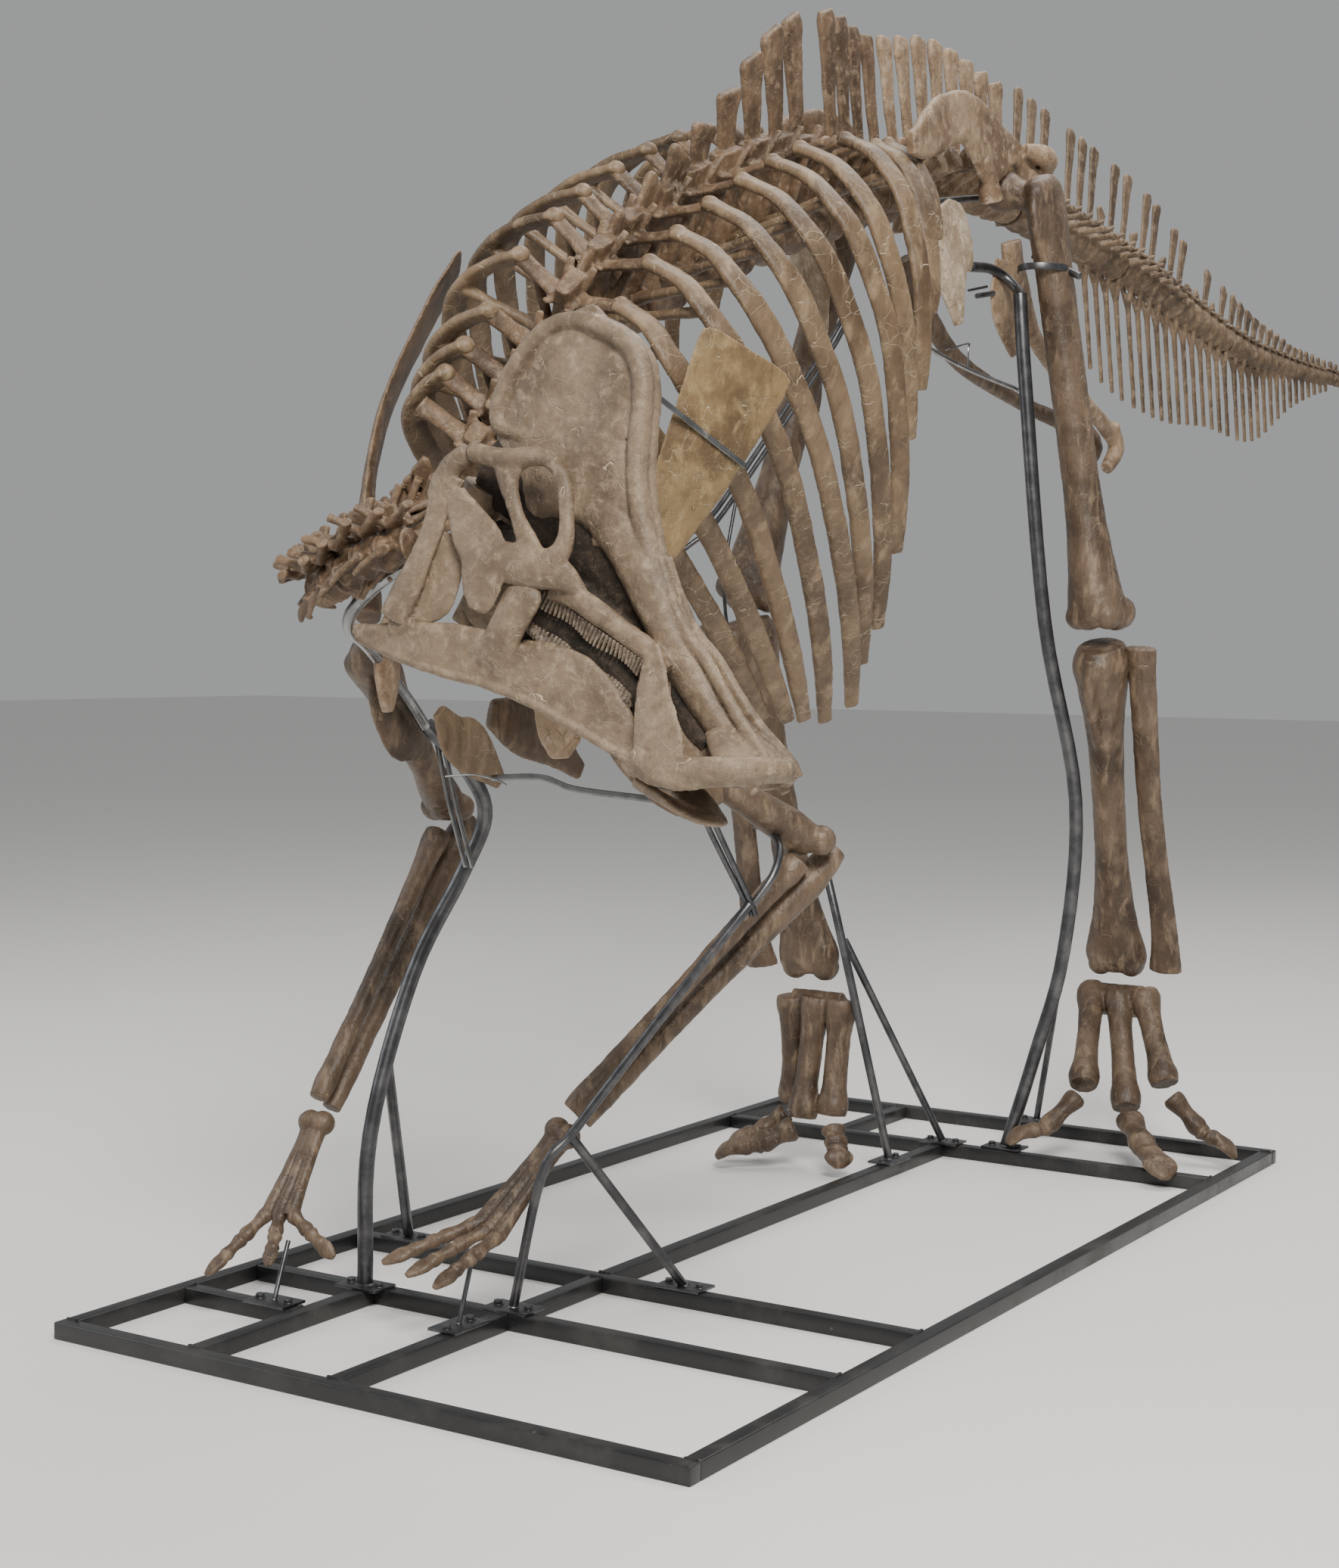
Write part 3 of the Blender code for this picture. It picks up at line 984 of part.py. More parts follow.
def build_posts():
    """Bent steel posts and thin rods on their foot plates."""
    top = TUBE_TOP
    make_steel("post_neck", [tube([(-0.406, 0.55, top), (-0.418, 0.58, 0.35), (-0.40, 0.70, 0.68),
                                   (-0.36, 0.82, 0.89),
                                   (-0.32, 0.85, 1.02), (-0.33, 0.80, 1.12), (-0.38, 0.72,
                                                                              1.22)], 0.017, 2)]
               + foot_plate(-0.406, 0.55, X)
               + [tube([(-0.591, 0.925, top), (-0.412, 0.63, 0.50)], 0.012)] + foot_plate(-0.591,
                                                                                          0.925, X))
    make_steel("post_arm", [tube([(-0.045, 0.586, top), (0.045, 0.56, 0.33), (0.092, 0.61, 0.42),
                                  (0.232, 0.73, 0.66), (0.352, 0.85, 0.87)],
                                 0.010, 2)]
               + foot_plate(-0.045, 0.586, X)
               + [tube([(0.156, 0.924, top), (0.083, 0.605, 0.405)], 0.010)] + foot_plate(0.156, 0.924,
                                                                                          X))
    make_steel("post_hip", [tube([(0.128, 2.609, top), (0.205, 2.62, 0.30), (0.277, 2.63, 0.58),
                                  (0.312, 2.61, 0.99),
                                  (0.262, 2.50, 1.465), (0.216, 2.458, 2.076), (0.20, 2.45,
                                                                                2.31)], 0.018, 2)]
               + foot_plate(0.128, 2.60, X))
    make_steel("post_shank_right", [tube([(-0.056, 2.274, top), (-0.16, 2.20, 0.60),
                                          (-0.235, 2.215, 0.84)], 0.011, 2)]
               + foot_plate(-0.056, 2.274, Y)
               + [tube([(-0.043, 2.57, top), (-0.165, 2.215, 0.62)], 0.010)] + foot_plate(-0.043, 2.57,
                                                                                          X))
    make_steel("post_shank_left", [tube([(0.053, FRAME_LENGTH - 0.02, top), (0.12, 2.97, 0.45),
                                         (0.20, 2.90, 0.88)], 0.009, 2)]
               + foot_plate(0.053, FRAME_LENGTH - 0.0175, X))
    make_steel("rod_hand_right", [tube([(-0.481, 0.35, top), (-0.495, 0.41, 0.15)],
                                       0.005)] + foot_plate(-0.481, 0.35, X))
    make_steel("rod_hand_left", [tube([(-0.061, 0.425, top), (-0.061, 0.47, 0.165)],
                                      0.005)] + foot_plate(-0.061, 0.425, Y))


# --------------------------------------------------------------------------- assembly
def clear_scene():
    """Empties the scene."""
    for obj in list(bpy.data.objects):
        bpy.data.objects.remove(obj, do_unlink=True)


def move_origin_to_bottom_center():
    """Move every solid so that the whole stands centred on the origin."""
    bpy.context.view_layer.update()
    graph = bpy.context.evaluated_depsgraph_get()
    corners = []
    for obj in bpy.data.objects:
        if obj.hide_render:
            continue
        mesh = obj.evaluated_get(graph).to_mesh()
        points = np.empty(len(mesh.vertices) * 3, np.float32)
        mesh.vertices.foreach_get("co", points)
        points = points.reshape(-1, 3)
        corners.extend((points.min(axis=0), points.max(axis=0)))
    low, high = np.min(corners, axis=0), np.max(corners, axis=0)
    shift = -np.array(((low[0] + high[0]) / 2, (low[1] + high[1]) / 2, low[2]))
    for obj in bpy.data.objects:
        obj.location = shift
    print("origin moved by", shift, "size", high - low)


def main():
    """Builds every bone and steel piece and centres the whole."""
    clear_scene()
    for name in MATERIALS:
        make_material(name)
    build_skull()
    build_neck()
    build_trunk()
    build_pelvis()
    build_tail()
    for side in (LEFT, RIGHT):
        build_hind(side)
        build_fore(side)
    build_breast()
    build_frame()
    build_posts()
    move_origin_to_bottom_center()


main()
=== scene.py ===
"""Dressed look of a mounted helmet-crested duck-billed dinosaur skeleton on its welded steel floor frame.

Metres, +Z up. The animal faces -Y and its left side is +X. The sub-assemblies are modelled from
the floor frame's front edge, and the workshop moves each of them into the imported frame.
"""

from __future__ import annotations

import logging
import math
from dataclasses import dataclass, field
from enum import Enum, IntEnum
from typing import Any, Iterable, Sequence

import bpy
import numpy as np
from mathutils import Matrix, Vector

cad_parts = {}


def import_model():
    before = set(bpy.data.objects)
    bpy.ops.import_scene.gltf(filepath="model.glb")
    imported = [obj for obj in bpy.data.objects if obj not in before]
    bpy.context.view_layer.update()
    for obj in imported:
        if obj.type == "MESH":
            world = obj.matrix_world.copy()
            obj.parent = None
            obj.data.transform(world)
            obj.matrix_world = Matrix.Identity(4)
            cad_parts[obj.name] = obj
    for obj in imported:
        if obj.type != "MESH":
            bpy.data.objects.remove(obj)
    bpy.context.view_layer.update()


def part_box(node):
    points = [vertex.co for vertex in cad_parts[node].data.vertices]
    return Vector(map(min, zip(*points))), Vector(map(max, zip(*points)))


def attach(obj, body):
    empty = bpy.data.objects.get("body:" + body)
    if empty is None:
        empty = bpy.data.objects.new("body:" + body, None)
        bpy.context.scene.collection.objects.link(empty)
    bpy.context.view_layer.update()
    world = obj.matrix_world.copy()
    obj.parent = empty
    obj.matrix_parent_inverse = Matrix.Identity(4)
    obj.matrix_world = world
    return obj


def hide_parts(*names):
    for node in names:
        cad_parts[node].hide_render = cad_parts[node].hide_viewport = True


log = logging.getLogger("skeleton")

Point = Sequence[float]
Path = tuple[Point, ...]
Row = tuple[float, ...]
Tone = tuple[float, float, float]
Array = np.ndarray
Piece = bpy.types.Object
Socket = bpy.types.NodeSocket
Shell = tuple[Array, list[tuple[int, ...]]]

X, Y, Z = np.eye(3)
MIDLINE = -0.05
BODY = "root"


class Side(IntEnum):
    """The animal's own sides; the number is the sign of x."""

    LEFT = 1
    RIGHT = -1

    @property
    def word(self) -> str:
        """The side's name as the frame's nodes spell it."""
        return self.name.lower()


class Slot(Enum):
    """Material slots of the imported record."""

    BROWN = "bone_brown"
    TAN = "bone_tan"
    SKULL = "bone_skull"
    PAINT = "frame_paint"
    STEEL = "post_steel"


# ---- shapes
def vec(*values: float) -> Array:
    """A point or direction as an array."""
    return np.array(values, float)


def unit(vector: Point) -> Array:
    """The same direction with length one."""
    return np.asarray(vector, float) / np.linalg.norm(vector)


def lerp(a: Point, b: Point, t: float) -> Array:
    """The point a share t of the way from a to b."""
    return np.asarray(a, float) * (1 - t) + np.asarray(b, float) * t


def wobble(number: float, amount: float = 1.0) -> float:
    """A steady, uneven value between -amount and amount for each number."""
    return amount * math.sin(number * 12.9898 + 4.1)


def spline(knots: Sequence[float], values: Any, at: Any) -> Array:
    """Samples a smooth curve.

    Args:
        knots: rising places where the curve is given.
        values: a number or a point at each knot.
        at: where to sample it.

    Returns:
        The values at those places.
    """
    places = np.asarray(knots, float)
    given = np.asarray(values, float)
    slopes = np.gradient(given, places, axis=0)
    at = np.clip(np.asarray(at, float), places[0], places[-1])
    index = np.clip(np.searchsorted(places, at, side="right") - 1, 0, len(places) - 2)
    width = places[index + 1] - places[index]
    t = (at - places[index]) / width
    if given.ndim > 1:
        t = np.asarray(t)[..., None]
        width = np.asarray(width)[..., None]
    start = (2 * t**3 - 3 * t**2 + 1) * given[index] + (t**3 - 2 * t**2 + t) * width * slopes[index]
    end = (3 * t**2 - 2 * t**3) * given[index + 1] + (t**3 - t**2) * width * slopes[index + 1]
    return start + end


def loft(points: Any, widths: Any, depths: Any, side: Any, sides: int = 14, steps: int = 3,
         power: float = 2.0, dent: float = 0.0) -> Shell:
    """Sweeps a rounded section along points and closes both ends.

    Args:
        points: the middle of each section.
        widths: half widths along side.
        depths: half depths across it.
        side: the direction of the width, one for all sections or one each.
        sides: corners of a section.
        steps: sections made for each pair of points.
        power: 2 for an oval, more for a squarer section.
        dent: how far the broad faces are hollowed, as a share of the depth.

    Returns:
        The closed shell.
    """
    points = np.array(points, float)
    count = len(points)
    widths = np.broadcast_to(np.asarray(widths, float), count)
    depths = np.broadcast_to(np.asarray(depths, float), count)
    side = np.broadcast_to(np.asarray(side, float), (count, 3))
    if steps > 1:
        knots = np.arange(count)
        fine = np.linspace(0, count - 1, (count - 1) * steps + 1)
        points = spline(knots, points, fine)
        widths = np.maximum(spline(knots, widths, fine), widths.min())
        depths = np.maximum(spline(knots, depths, fine), depths.min())
        side = spline(knots, side, fine)
    along = np.gradient(points, axis=0)
    along = along / np.linalg.norm(along, axis=1)[:, None]
    across = side - (side * along).sum(1)[:, None] * along
    across = across / np.linalg.norm(across, axis=1)[:, None]
    other = np.cross(along, across)
    angles = (np.arange(sides) + (0.5 if sides == 4 else 0.0)) * 2 * math.pi / sides
    cos, sin = np.cos(angles), np.sin(angles)
    cos = np.sign(cos) * np.abs(cos) ** (2 / power)
    sin = np.sign(sin) * np.abs(sin) ** (2 / power) * (1 - dent * (1 - cos**2) ** 2)
    rings = (points[:, None] + across[:, None] * (widths[:, None] * cos)[..., None]
             + other[:, None] * (depths[:, None] * sin)[..., None])
    faces: list[tuple[int, ...]] = [tuple(range(sides))[::-1]]
    for ring in range(len(points) - 1):
        for k in range(sides):
            a, b = ring * sides + k, ring * sides + (k + 1) % sides
            faces.append((a, b, b + sides, a + sides))
    last = (len(points) - 1) * sides
    faces.append(tuple(range(last, last + sides)))
    return rings.reshape(-1, 3), faces


def block(center: Point, size: Point, axes: Sequence[Point] = (X, Y, Z)) -> Shell:
    """Builds a closed box.

    Args:
        center: its middle.
        size: full lengths along the axes.
        axes: three directions at right angles.

    Returns:
        The closed shell.
    """
    half = [np.asarray(axis) * length / 2 for axis, length in zip(axes, size)]
    corners = [np.asarray(center) + i * half[0] + j * half[1] + k * half[2]
               for i in (-1, 1) for j in (-1, 1) for k in (-1, 1)]
    faces = [(0, 1, 3, 2), (4, 6, 7, 5), (0, 4, 5, 1), (2, 3, 7, 6), (0, 2, 6, 4), (1, 5, 7, 3)]
    return np.array(corners), faces


def knob(center: Point, along: Point, radius: float, side: Point, stretch: float = 1.0) -> Shell:
    """Builds a rounded lump, such as a condyle.

    Args:
        center: its middle.
        along: the direction it is stretched in.
        radius: its radius across.
        side: a direction across it.
        stretch: its length over its width.

    Returns:
        The closed shell.
    """
    angles = np.linspace(-1.35, 1.35, 9)
    points = [np.asarray(center) + np.asarray(along) * radius * stretch * math.sin(a) for a in angles]
    swell = [radius * math.cos(a) for a in angles]
    return loft(points, swell, swell, side, steps=1)


def moved(shells: Iterable[Shell], shift: Array) -> list[Shell]:
    """The same shells, moved by shift."""
    return [(points + shift, faces) for points, faces in shells]


def rod(points: Any, radius: float, steps: int = 6, sides: int = 14) -> Shell:
    """Builds a round bar bent smoothly through points.

    Args:
        points: where it passes.
        radius: its radius.
        steps: sections between two points.
        sides: corners of its section.

    Returns:
        The closed shell.
    """
    points = np.array(points, float)
    run = unit(points[-1] - points[0])
    side = X if abs(run @ X) < 0.8 else Y
    return loft(points, radius, radius, side, sides=sides, steps=steps)


def welded_mesh(name: str, shells: Iterable[Shell], shift: Array) -> Piece:
    """Gathers shells in one mesh object.

    Args:
        name: the object's name.
        shells: its closed shells.
        shift: added to every point.

    Returns:
        The new object, linked to the scene.
    """
    vertices: list[Row] = []
    faces: list[tuple[int, ...]] = []
    for points, polygons in shells:
        start = len(vertices)
        vertices.extend(map(tuple, (points + shift).tolist()))
        faces.extend(tuple(start + corner for corner in polygon) for polygon in polygons)
    mesh = bpy.data.meshes.new(name)
    mesh.from_pydata(vertices, [], faces)
    mesh.update()
    obj = bpy.data.objects.new(name, mesh)
    bpy.context.scene.collection.objects.link(obj)
    return obj


# ---- finishes
class Shade:
    """A number that varies over a surface, written as an expression."""

    def __init__(self, bench: Bench, socket: Socket) -> None:
        """Wraps an output socket of the bench's node tree."""
        self.bench = bench
        self.socket = socket

    def _math(self, operation: str, first: Any, second: Any) -> Shade:
        """Adds one Math node.

        Args:
            operation: the node's operation.
            first: its first value or shade.
            second: its second value or shade.

        Returns:
            The result as a shade.
        """
        node = self.bench.node("Math", {"operation": operation}, {0: first, 1: second})
        return Shade(self.bench, node.outputs[0])

    def __add__(self, other: Any) -> Shade:
        """This plus other."""
        return self._math("ADD", self, other)

    __radd__ = __add__

    def __sub__(self, other: Any) -> Shade:
        """This minus other."""
        return self._math("SUBTRACT", self, other)

    def __rsub__(self, other: Any) -> Shade:
        """Other minus this."""
        return self._math("SUBTRACT", other, self)

    def __mul__(self, other: Any) -> Shade:
        """This times other."""
        return self._math("MULTIPLY", self, other)

    __rmul__ = __mul__


class Bench:
    """The node tree of one material."""

    def __init__(self, name: str) -> None:
        """Starts a material with an empty Principled shader."""
        self.material = bpy.data.materials.new(name)
        self.material.use_nodes = True
        self.tree = self.material.node_tree
        self.shader = self.tree.nodes["Principled BSDF"]
        self.place = self.node("TexCoord", {}, {}).outputs["Object"]

    def node(self, kind: str, settings: dict[str, Any], sockets: dict[Any, Any]) -> bpy.types.Node:
        """Adds any node.

        Args:
            kind: the node's type without ShaderNode.
            settings: its properties.
            sockets: a value, link or shade for each input.

        Returns:
            The new node.
        """
        node = self.tree.nodes.new("ShaderNode" + kind)
        for key, value in settings.items():
            setattr(node, key, value)
        for key, value in sockets.items():
            self.feed(node.inputs[key], value)
        return node

    def feed(self, target: Socket, value: Any) -> None:
        """Gives an input its value or link."""
        if isinstance(value, Shade):
            value = value.socket
        if isinstance(value, Socket):
            self.tree.links.new(value, target)
        else:
            target.default_value = value

    def noise(self, scale: float, detail: float = 4.0, rough: float = 0.55, place: Any = None,
              twist: float = 0.0) -> Shade:
        """Cloudy noise between 0 and 1.

        Args:
            scale: clouds for each metre.
            detail: octaves.
            rough: share of the fine octaves.
            place: where it is read, the object's own place if left out.
            twist: how far it is swirled.

        Returns:
            The noise as a shade.
        """
        node = self.node("TexNoise", {},
                         {"Vector": place or self.place, "Scale": scale, "Detail": detail, "Roughness": rough,
                          "Distortion": twist})
        return Shade(self, node.outputs[0])

    def vector(self, operation: str, first: Any, second: Any) -> Socket:
        """The result of one Vector Math node; second is its number for SCALE."""
        sockets = {0: first, "Scale" if operation == "SCALE" else 1: second}
        return self.node("VectorMath", {"operation": operation}, sockets).outputs[0]

    def stretched(self, x: float, y: float, z: float) -> Socket:
        """The place with each axis scaled, for streaks."""
        return self.vector("MULTIPLY", self.place, (x, y, z))

    def warped(self, scale: float, amount: float) -> Socket:
        """Shifts the place by noise, so that lines wander.

        Args:
            scale: noise clouds for each metre.
            amount: the largest shift in metres.

        Returns:
            The shifted place.
        """
        cloud = self.node("TexNoise", {}, {"Vector": self.place, "Scale": scale, "Detail": 3.0})
        off = self.vector("SUBTRACT", cloud.outputs[1], (0.5, 0.5, 0.5))
        return self.vector("ADD", self.place, self.vector("SCALE", off, amount * 2))

    def cracks(self, scale: float, width: float, place: Any, uneven: float = 1.0) -> Shade:
        """Thin lines between uneven cells.

        Args:
            scale: cells for each metre.
            width: half width of a line as a share of a cell.
            place: where the cells are read.
            uneven: 0 for square cells and 1 for random ones.

        Returns:
            1 on the lines and 0 between them.
        """
        cells = self.node("TexVoronoi", {"feature": "DISTANCE_TO_EDGE"},
                          {"Vector": place, "Scale": scale, "Randomness": uneven})
        return 1 - self.band(Shade(self, cells.outputs[0]), 0.0, width)

    def band(self, shade: Shade, low: float, high: float) -> Shade:
        """A smooth step.

        Args:
            shade: what is read.
            low: where it starts to rise.
            high: where it reaches 1.

        Returns:
            0 below low and 1 above high.
        """
        node = self.node("MapRange", {"interpolation_type": "SMOOTHSTEP"},
                         {"Value": shade, "From Min": low, "From Max": high})
        return Shade(self, node.outputs[0])

    def blend(self, share: Any, under: Any, over: Any) -> Socket:
        """Mixes two colours.

        Args:
            share: how much of over shows.
            under: the first tone or link.
            over: the second tone or link.

        Returns:
            The mixed colour.
        """
        under, over = (t if isinstance(t, Socket) else (*t, 1.0) for t in (under, over))
        node = self.node("Mix", {"data_type": "RGBA"}, {"Factor": share, 6: under, 7: over})
        return node.outputs[2]

    def pointiness(self) -> Shade:
        """How far a place stands out from its surroundings, about 0.5 where it is flat."""
        return Shade(self, self.node("NewGeometry", {}, {}).outputs["Pointiness"])

    def bump(self, height: Shade, distance: float, strength: float) -> None:
        """Presses a relief into the surface.

        Args:
            height: the relief between 0 and 1.
            distance: its depth in metres.
            strength: how much of it shows.
        """
        relief = self.node("Bump", {},
                           {"Height": height, "Distance": distance, "Strength": strength})
        self.feed(self.shader.inputs["Normal"], relief.outputs[0])


@dataclass(frozen=True)
class FossilFinish:
    """Petrified bone: mineral patches, wandering cracks, pores, worn edges lightened further as painted
    highlights, and painted shade in the hollows.
    """

    name: str
    slot: Slot
    deep: Tone
    body: Tone
    pale: Tone
    line: Tone
    patch: float = 5.0
    crack: float = 22.0
    crack_share: float = 0.7
    gloss: float = 0.52
    grain: Row = (1.0, 1.0, 1.0)
    uneven: float = 1.0

    def make(self) -> bpy.types.Material:
        """Builds the material's nodes."""
        bench = Bench(self.name)
        streaks = bench.stretched(*self.grain)
        broad = bench.noise(self.patch, 5.0, 0.62)
        mottle = bench.noise(self.patch * 5.5, 6.0, 0.66, streaks, 0.4)
        speck = bench.noise(150.0, 3.0, 0.6, streaks)
        pores = bench.noise(420.0, 2.0, 0.5)
        edge = bench.pointiness()
        wandering = bench.warped(14.0, 0.02)
        lines = bench.cracks(self.crack, 0.022, wandering, self.uneven)
        lines = lines * bench.band(bench.noise(13.0, 3.0), 0.49, 0.58)
        hair = bench.cracks(self.crack * 2.3, 0.032, wandering, self.uneven)
        hair = hair * bench.band(bench.noise(9.0, 3.0), 0.5, 0.6)
        tone = bench.blend(bench.band(broad, 0.36, 0.62), self.deep, self.body)
        tone = bench.blend(bench.band(mottle, 0.48, 0.7) * 0.75, tone, self.pale)
        tone = bench.blend(bench.band(mottle, 0.46, 0.3) * 0.65, tone, self.deep)
        tone = bench.blend(bench.band(speck, 0.58, 0.72) * 0.35, tone, self.deep)
        # pale on standing-out edges: partly wear, partly painted highlight
        tone = bench.blend(bench.band(edge, 0.515, 0.58) * 0.6, tone, self.pale)
        # painted shade: darker where the surface sinks in, in creases and hollows
        tone = bench.blend(bench.band(edge, 0.495, 0.43) * 0.85, tone, [c * 0.3 for c in self.deep])
        tone = bench.blend(hair * self.crack_share * 0.55, tone, self.line)
        tone = bench.blend(lines * self.crack_share, tone, self.line)
        bench.feed(bench.shader.inputs["Base Color"], tone)
        bench.feed(bench.shader.inputs["Roughness"], self.gloss + mottle * 0.25 + hair * 0.15 - 0.12)
        bench.shader.inputs["Specular IOR Level"].default_value = 0.42
        relief = broad * 0.25 + mottle * 0.55 + speck * 0.18 + pores * 0.1 - lines * 0.55 - hair * 0.25
        bench.bump(relief, 0.006, 0.75)
        return bench.material


@dataclass(frozen=True)
class PaintFinish:
    """Near-black shop paint over welded tube, with small scuffs to bare metal and cloudy dust."""

    name: str = "frame_black_paint"
    slot: Slot = Slot.PAINT
    coat: Tone = (0.012, 0.012, 0.013)
    dust: Tone = (0.1, 0.095, 0.085)
    bare: Tone = (0.22, 0.21, 0.2)

    def make(self) -> bpy.types.Material:
        """Builds the material's nodes."""
        bench = Bench(self.name)
        scuff = bench.noise(38.0, 6.0, 0.7)
        dust = bench.noise(6.0, 5.0, 0.65)
        peel = bench.noise(320.0, 2.0, 0.5)
        chips = bench.band(scuff, 0.66, 0.72)
        film = bench.band(dust, 0.45, 0.75) * 0.35
        tone = bench.blend(film, self.coat, self.dust)
        tone = bench.blend(chips * 0.6, tone, self.bare)
        bench.feed(bench.shader.inputs["Base Color"], tone)
        bench.feed(bench.shader.inputs["Roughness"], 0.27 + film * 0.8 + scuff * 0.12)
        bench.feed(bench.shader.inputs["Metallic"], chips * 0.8)
        bench.bump(peel * 0.5 + scuff * 0.4 - chips * 0.3, 0.0012, 0.5)
        return bench.material


@dataclass(frozen=True)
class SteelFinish:
    """Bent steel bar with mill scale, grinding marks and a little rust."""

    name: str
    slot: Slot = Slot.STEEL
    steel: Tone = (0.15, 0.15, 0.155)
    scale: Tone = (0.08, 0.08, 0.085)
    rust: Tone = (0.11, 0.05, 0.025)
    gloss: float = 0.28

    def make(self) -> bpy.types.Material:
        """Builds the material's nodes."""
        bench = Bench(self.name)
        brushed = bench.noise(60.0, 4.0, 0.6, bench.stretched(9.0, 9.0, 1.0))
        blotch = bench.noise(16.0, 5.0, 0.65)
        rust = bench.band(bench.noise(28.0, 5.0, 0.7), 0.62, 0.74) * 0.5
        tone = bench.blend(bench.band(blotch, 0.38, 0.66), self.scale, self.steel)
        tone = bench.blend(rust, tone, self.rust)
        bench.feed(bench.shader.inputs["Base Color"], tone)
        bench.feed(bench.shader.inputs["Roughness"], self.gloss + brushed * 0.18 + rust * 0.6)
        bench.feed(bench.shader.inputs["Metallic"], 0.95 - rust)
        bench.bump(brushed * 0.5 + blotch * 0.5, 0.0008, 0.4)
        return bench.material


@dataclass(frozen=True)
class FloorFinish:
    """Plain pale studio floor with a faint tooth."""

    name: str = "studio_floor"
    tone: Tone = (0.8, 0.79, 0.77)

    def make(self) -> bpy.types.Material:
        """Builds the material's nodes."""
        bench = Bench(self.name)
        cloud = bench.noise(1.5, 4.0, 0.6)
        bench.feed(bench.shader.inputs["Base Color"],
                   bench.blend(cloud * 0.12, self.tone, [c * 0.9 for c in self.tone]))
        bench.shader.inputs["Roughness"].default_value = 0.75
        bench.bump(bench.noise(90.0, 3.0), 0.001, 0.2)
        return bench.material


SKULL_BONE = FossilFinish("skull_ivory_bone", Slot.SKULL, (0.112, 0.078, 0.05), (0.205, 0.148, 0.097),
                          (0.31, 0.236, 0.16), (0.6, 0.49, 0.35), 8.0, 26.0, 0.6, 0.5)
# near-black finish for the walls deep inside the skull: painted shade in its recesses, not the bone's own
# colour
PAINTED_SHADE_BONE = FossilFinish("skull_painted_shade_bone", Slot.SKULL, (0.012, 0.008, 0.005), (0.034, 0.022, 0.014),
                           (0.085, 0.058, 0.038), (0.09, 0.06, 0.04), 12.0, 40.0, 0.3, 0.75)
TOOTH_BONE = FossilFinish("tooth_grey_enamel", Slot.SKULL, (0.06, 0.042, 0.028), (0.15, 0.112, 0.078),
                          (0.34, 0.28, 0.21), (0.05, 0.035, 0.025), 24.0, 60.0, 0.4, 0.36)
RIB_BONE = FossilFinish("rib_orange_bone", Slot.TAN, (0.08, 0.05, 0.028), (0.18, 0.12, 0.069),
                        (0.3, 0.215, 0.132), (0.62, 0.5, 0.34), 5.0, 24.0, 0.8, 0.46, (1.0, 1.0, 0.35))
BLADE_BONE = FossilFinish("blade_checked_bone", Slot.TAN, (0.1, 0.062, 0.028), (0.225, 0.148, 0.068),
                          (0.33, 0.235, 0.115), (0.66, 0.55, 0.35), 6.0, 44.0, 0.9, 0.5, (1.0, 1.0, 0.6),
                          0.45)
SPINE_BONE = FossilFinish("spine_brown_bone", Slot.TAN, (0.06, 0.035, 0.019), (0.155, 0.097, 0.056),
                          (0.29, 0.205, 0.13), (0.4, 0.31, 0.2), 7.0, 30.0, 0.45, 0.5)
LIMB_BONE = FossilFinish("limb_brown_bone", Slot.BROWN, (0.05, 0.032, 0.02), (0.125, 0.083, 0.053),
                         (0.25, 0.178, 0.115), (0.42, 0.31, 0.2), 6.0, 22.0, 0.4, 0.42, (1.0, 1.0, 0.3))
TAIL_BONE = FossilFinish("tail_brown_bone", Slot.BROWN, (0.065, 0.041, 0.024), (0.16, 0.107, 0.064),
                         (0.29, 0.215, 0.14), (0.38, 0.3, 0.2), 7.0, 30.0, 0.4, 0.5)
PALE_BONE = FossilFinish("hip_pale_bone", Slot.SKULL, (0.24, 0.17, 0.105), (0.45, 0.36, 0.26),
                         (0.62, 0.54, 0.43), (0.12, 0.08, 0.055), 6.0, 30.0, 0.5, 0.52)
HIP_BONE = FossilFinish("hip_tan_bone", Slot.TAN, (0.13, 0.08, 0.045), (0.29, 0.2, 0.125),
                        (0.46, 0.355, 0.25), (0.08, 0.052, 0.034), 6.0, 30.0, 0.5, 0.52)
FRAME_PAINT = PaintFinish()
POST_STEEL = SteelFinish("post_dark_steel")
BRIGHT_STEEL = SteelFinish("strap_bright_steel", Slot.STEEL, (0.33, 0.33, 0.325), (0.2, 0.2, 0.2),
                           (0.17, 0.12, 0.08), 0.1)


# ---- workshop
@dataclass
class Relief:
    """How a bone's skin is made: grid, smoothing and the height of its lumps and pits."""

    voxel: float = 0.004
    smooth: int = 4
    lumps: float = 0.004
    pits: float = 0.0016


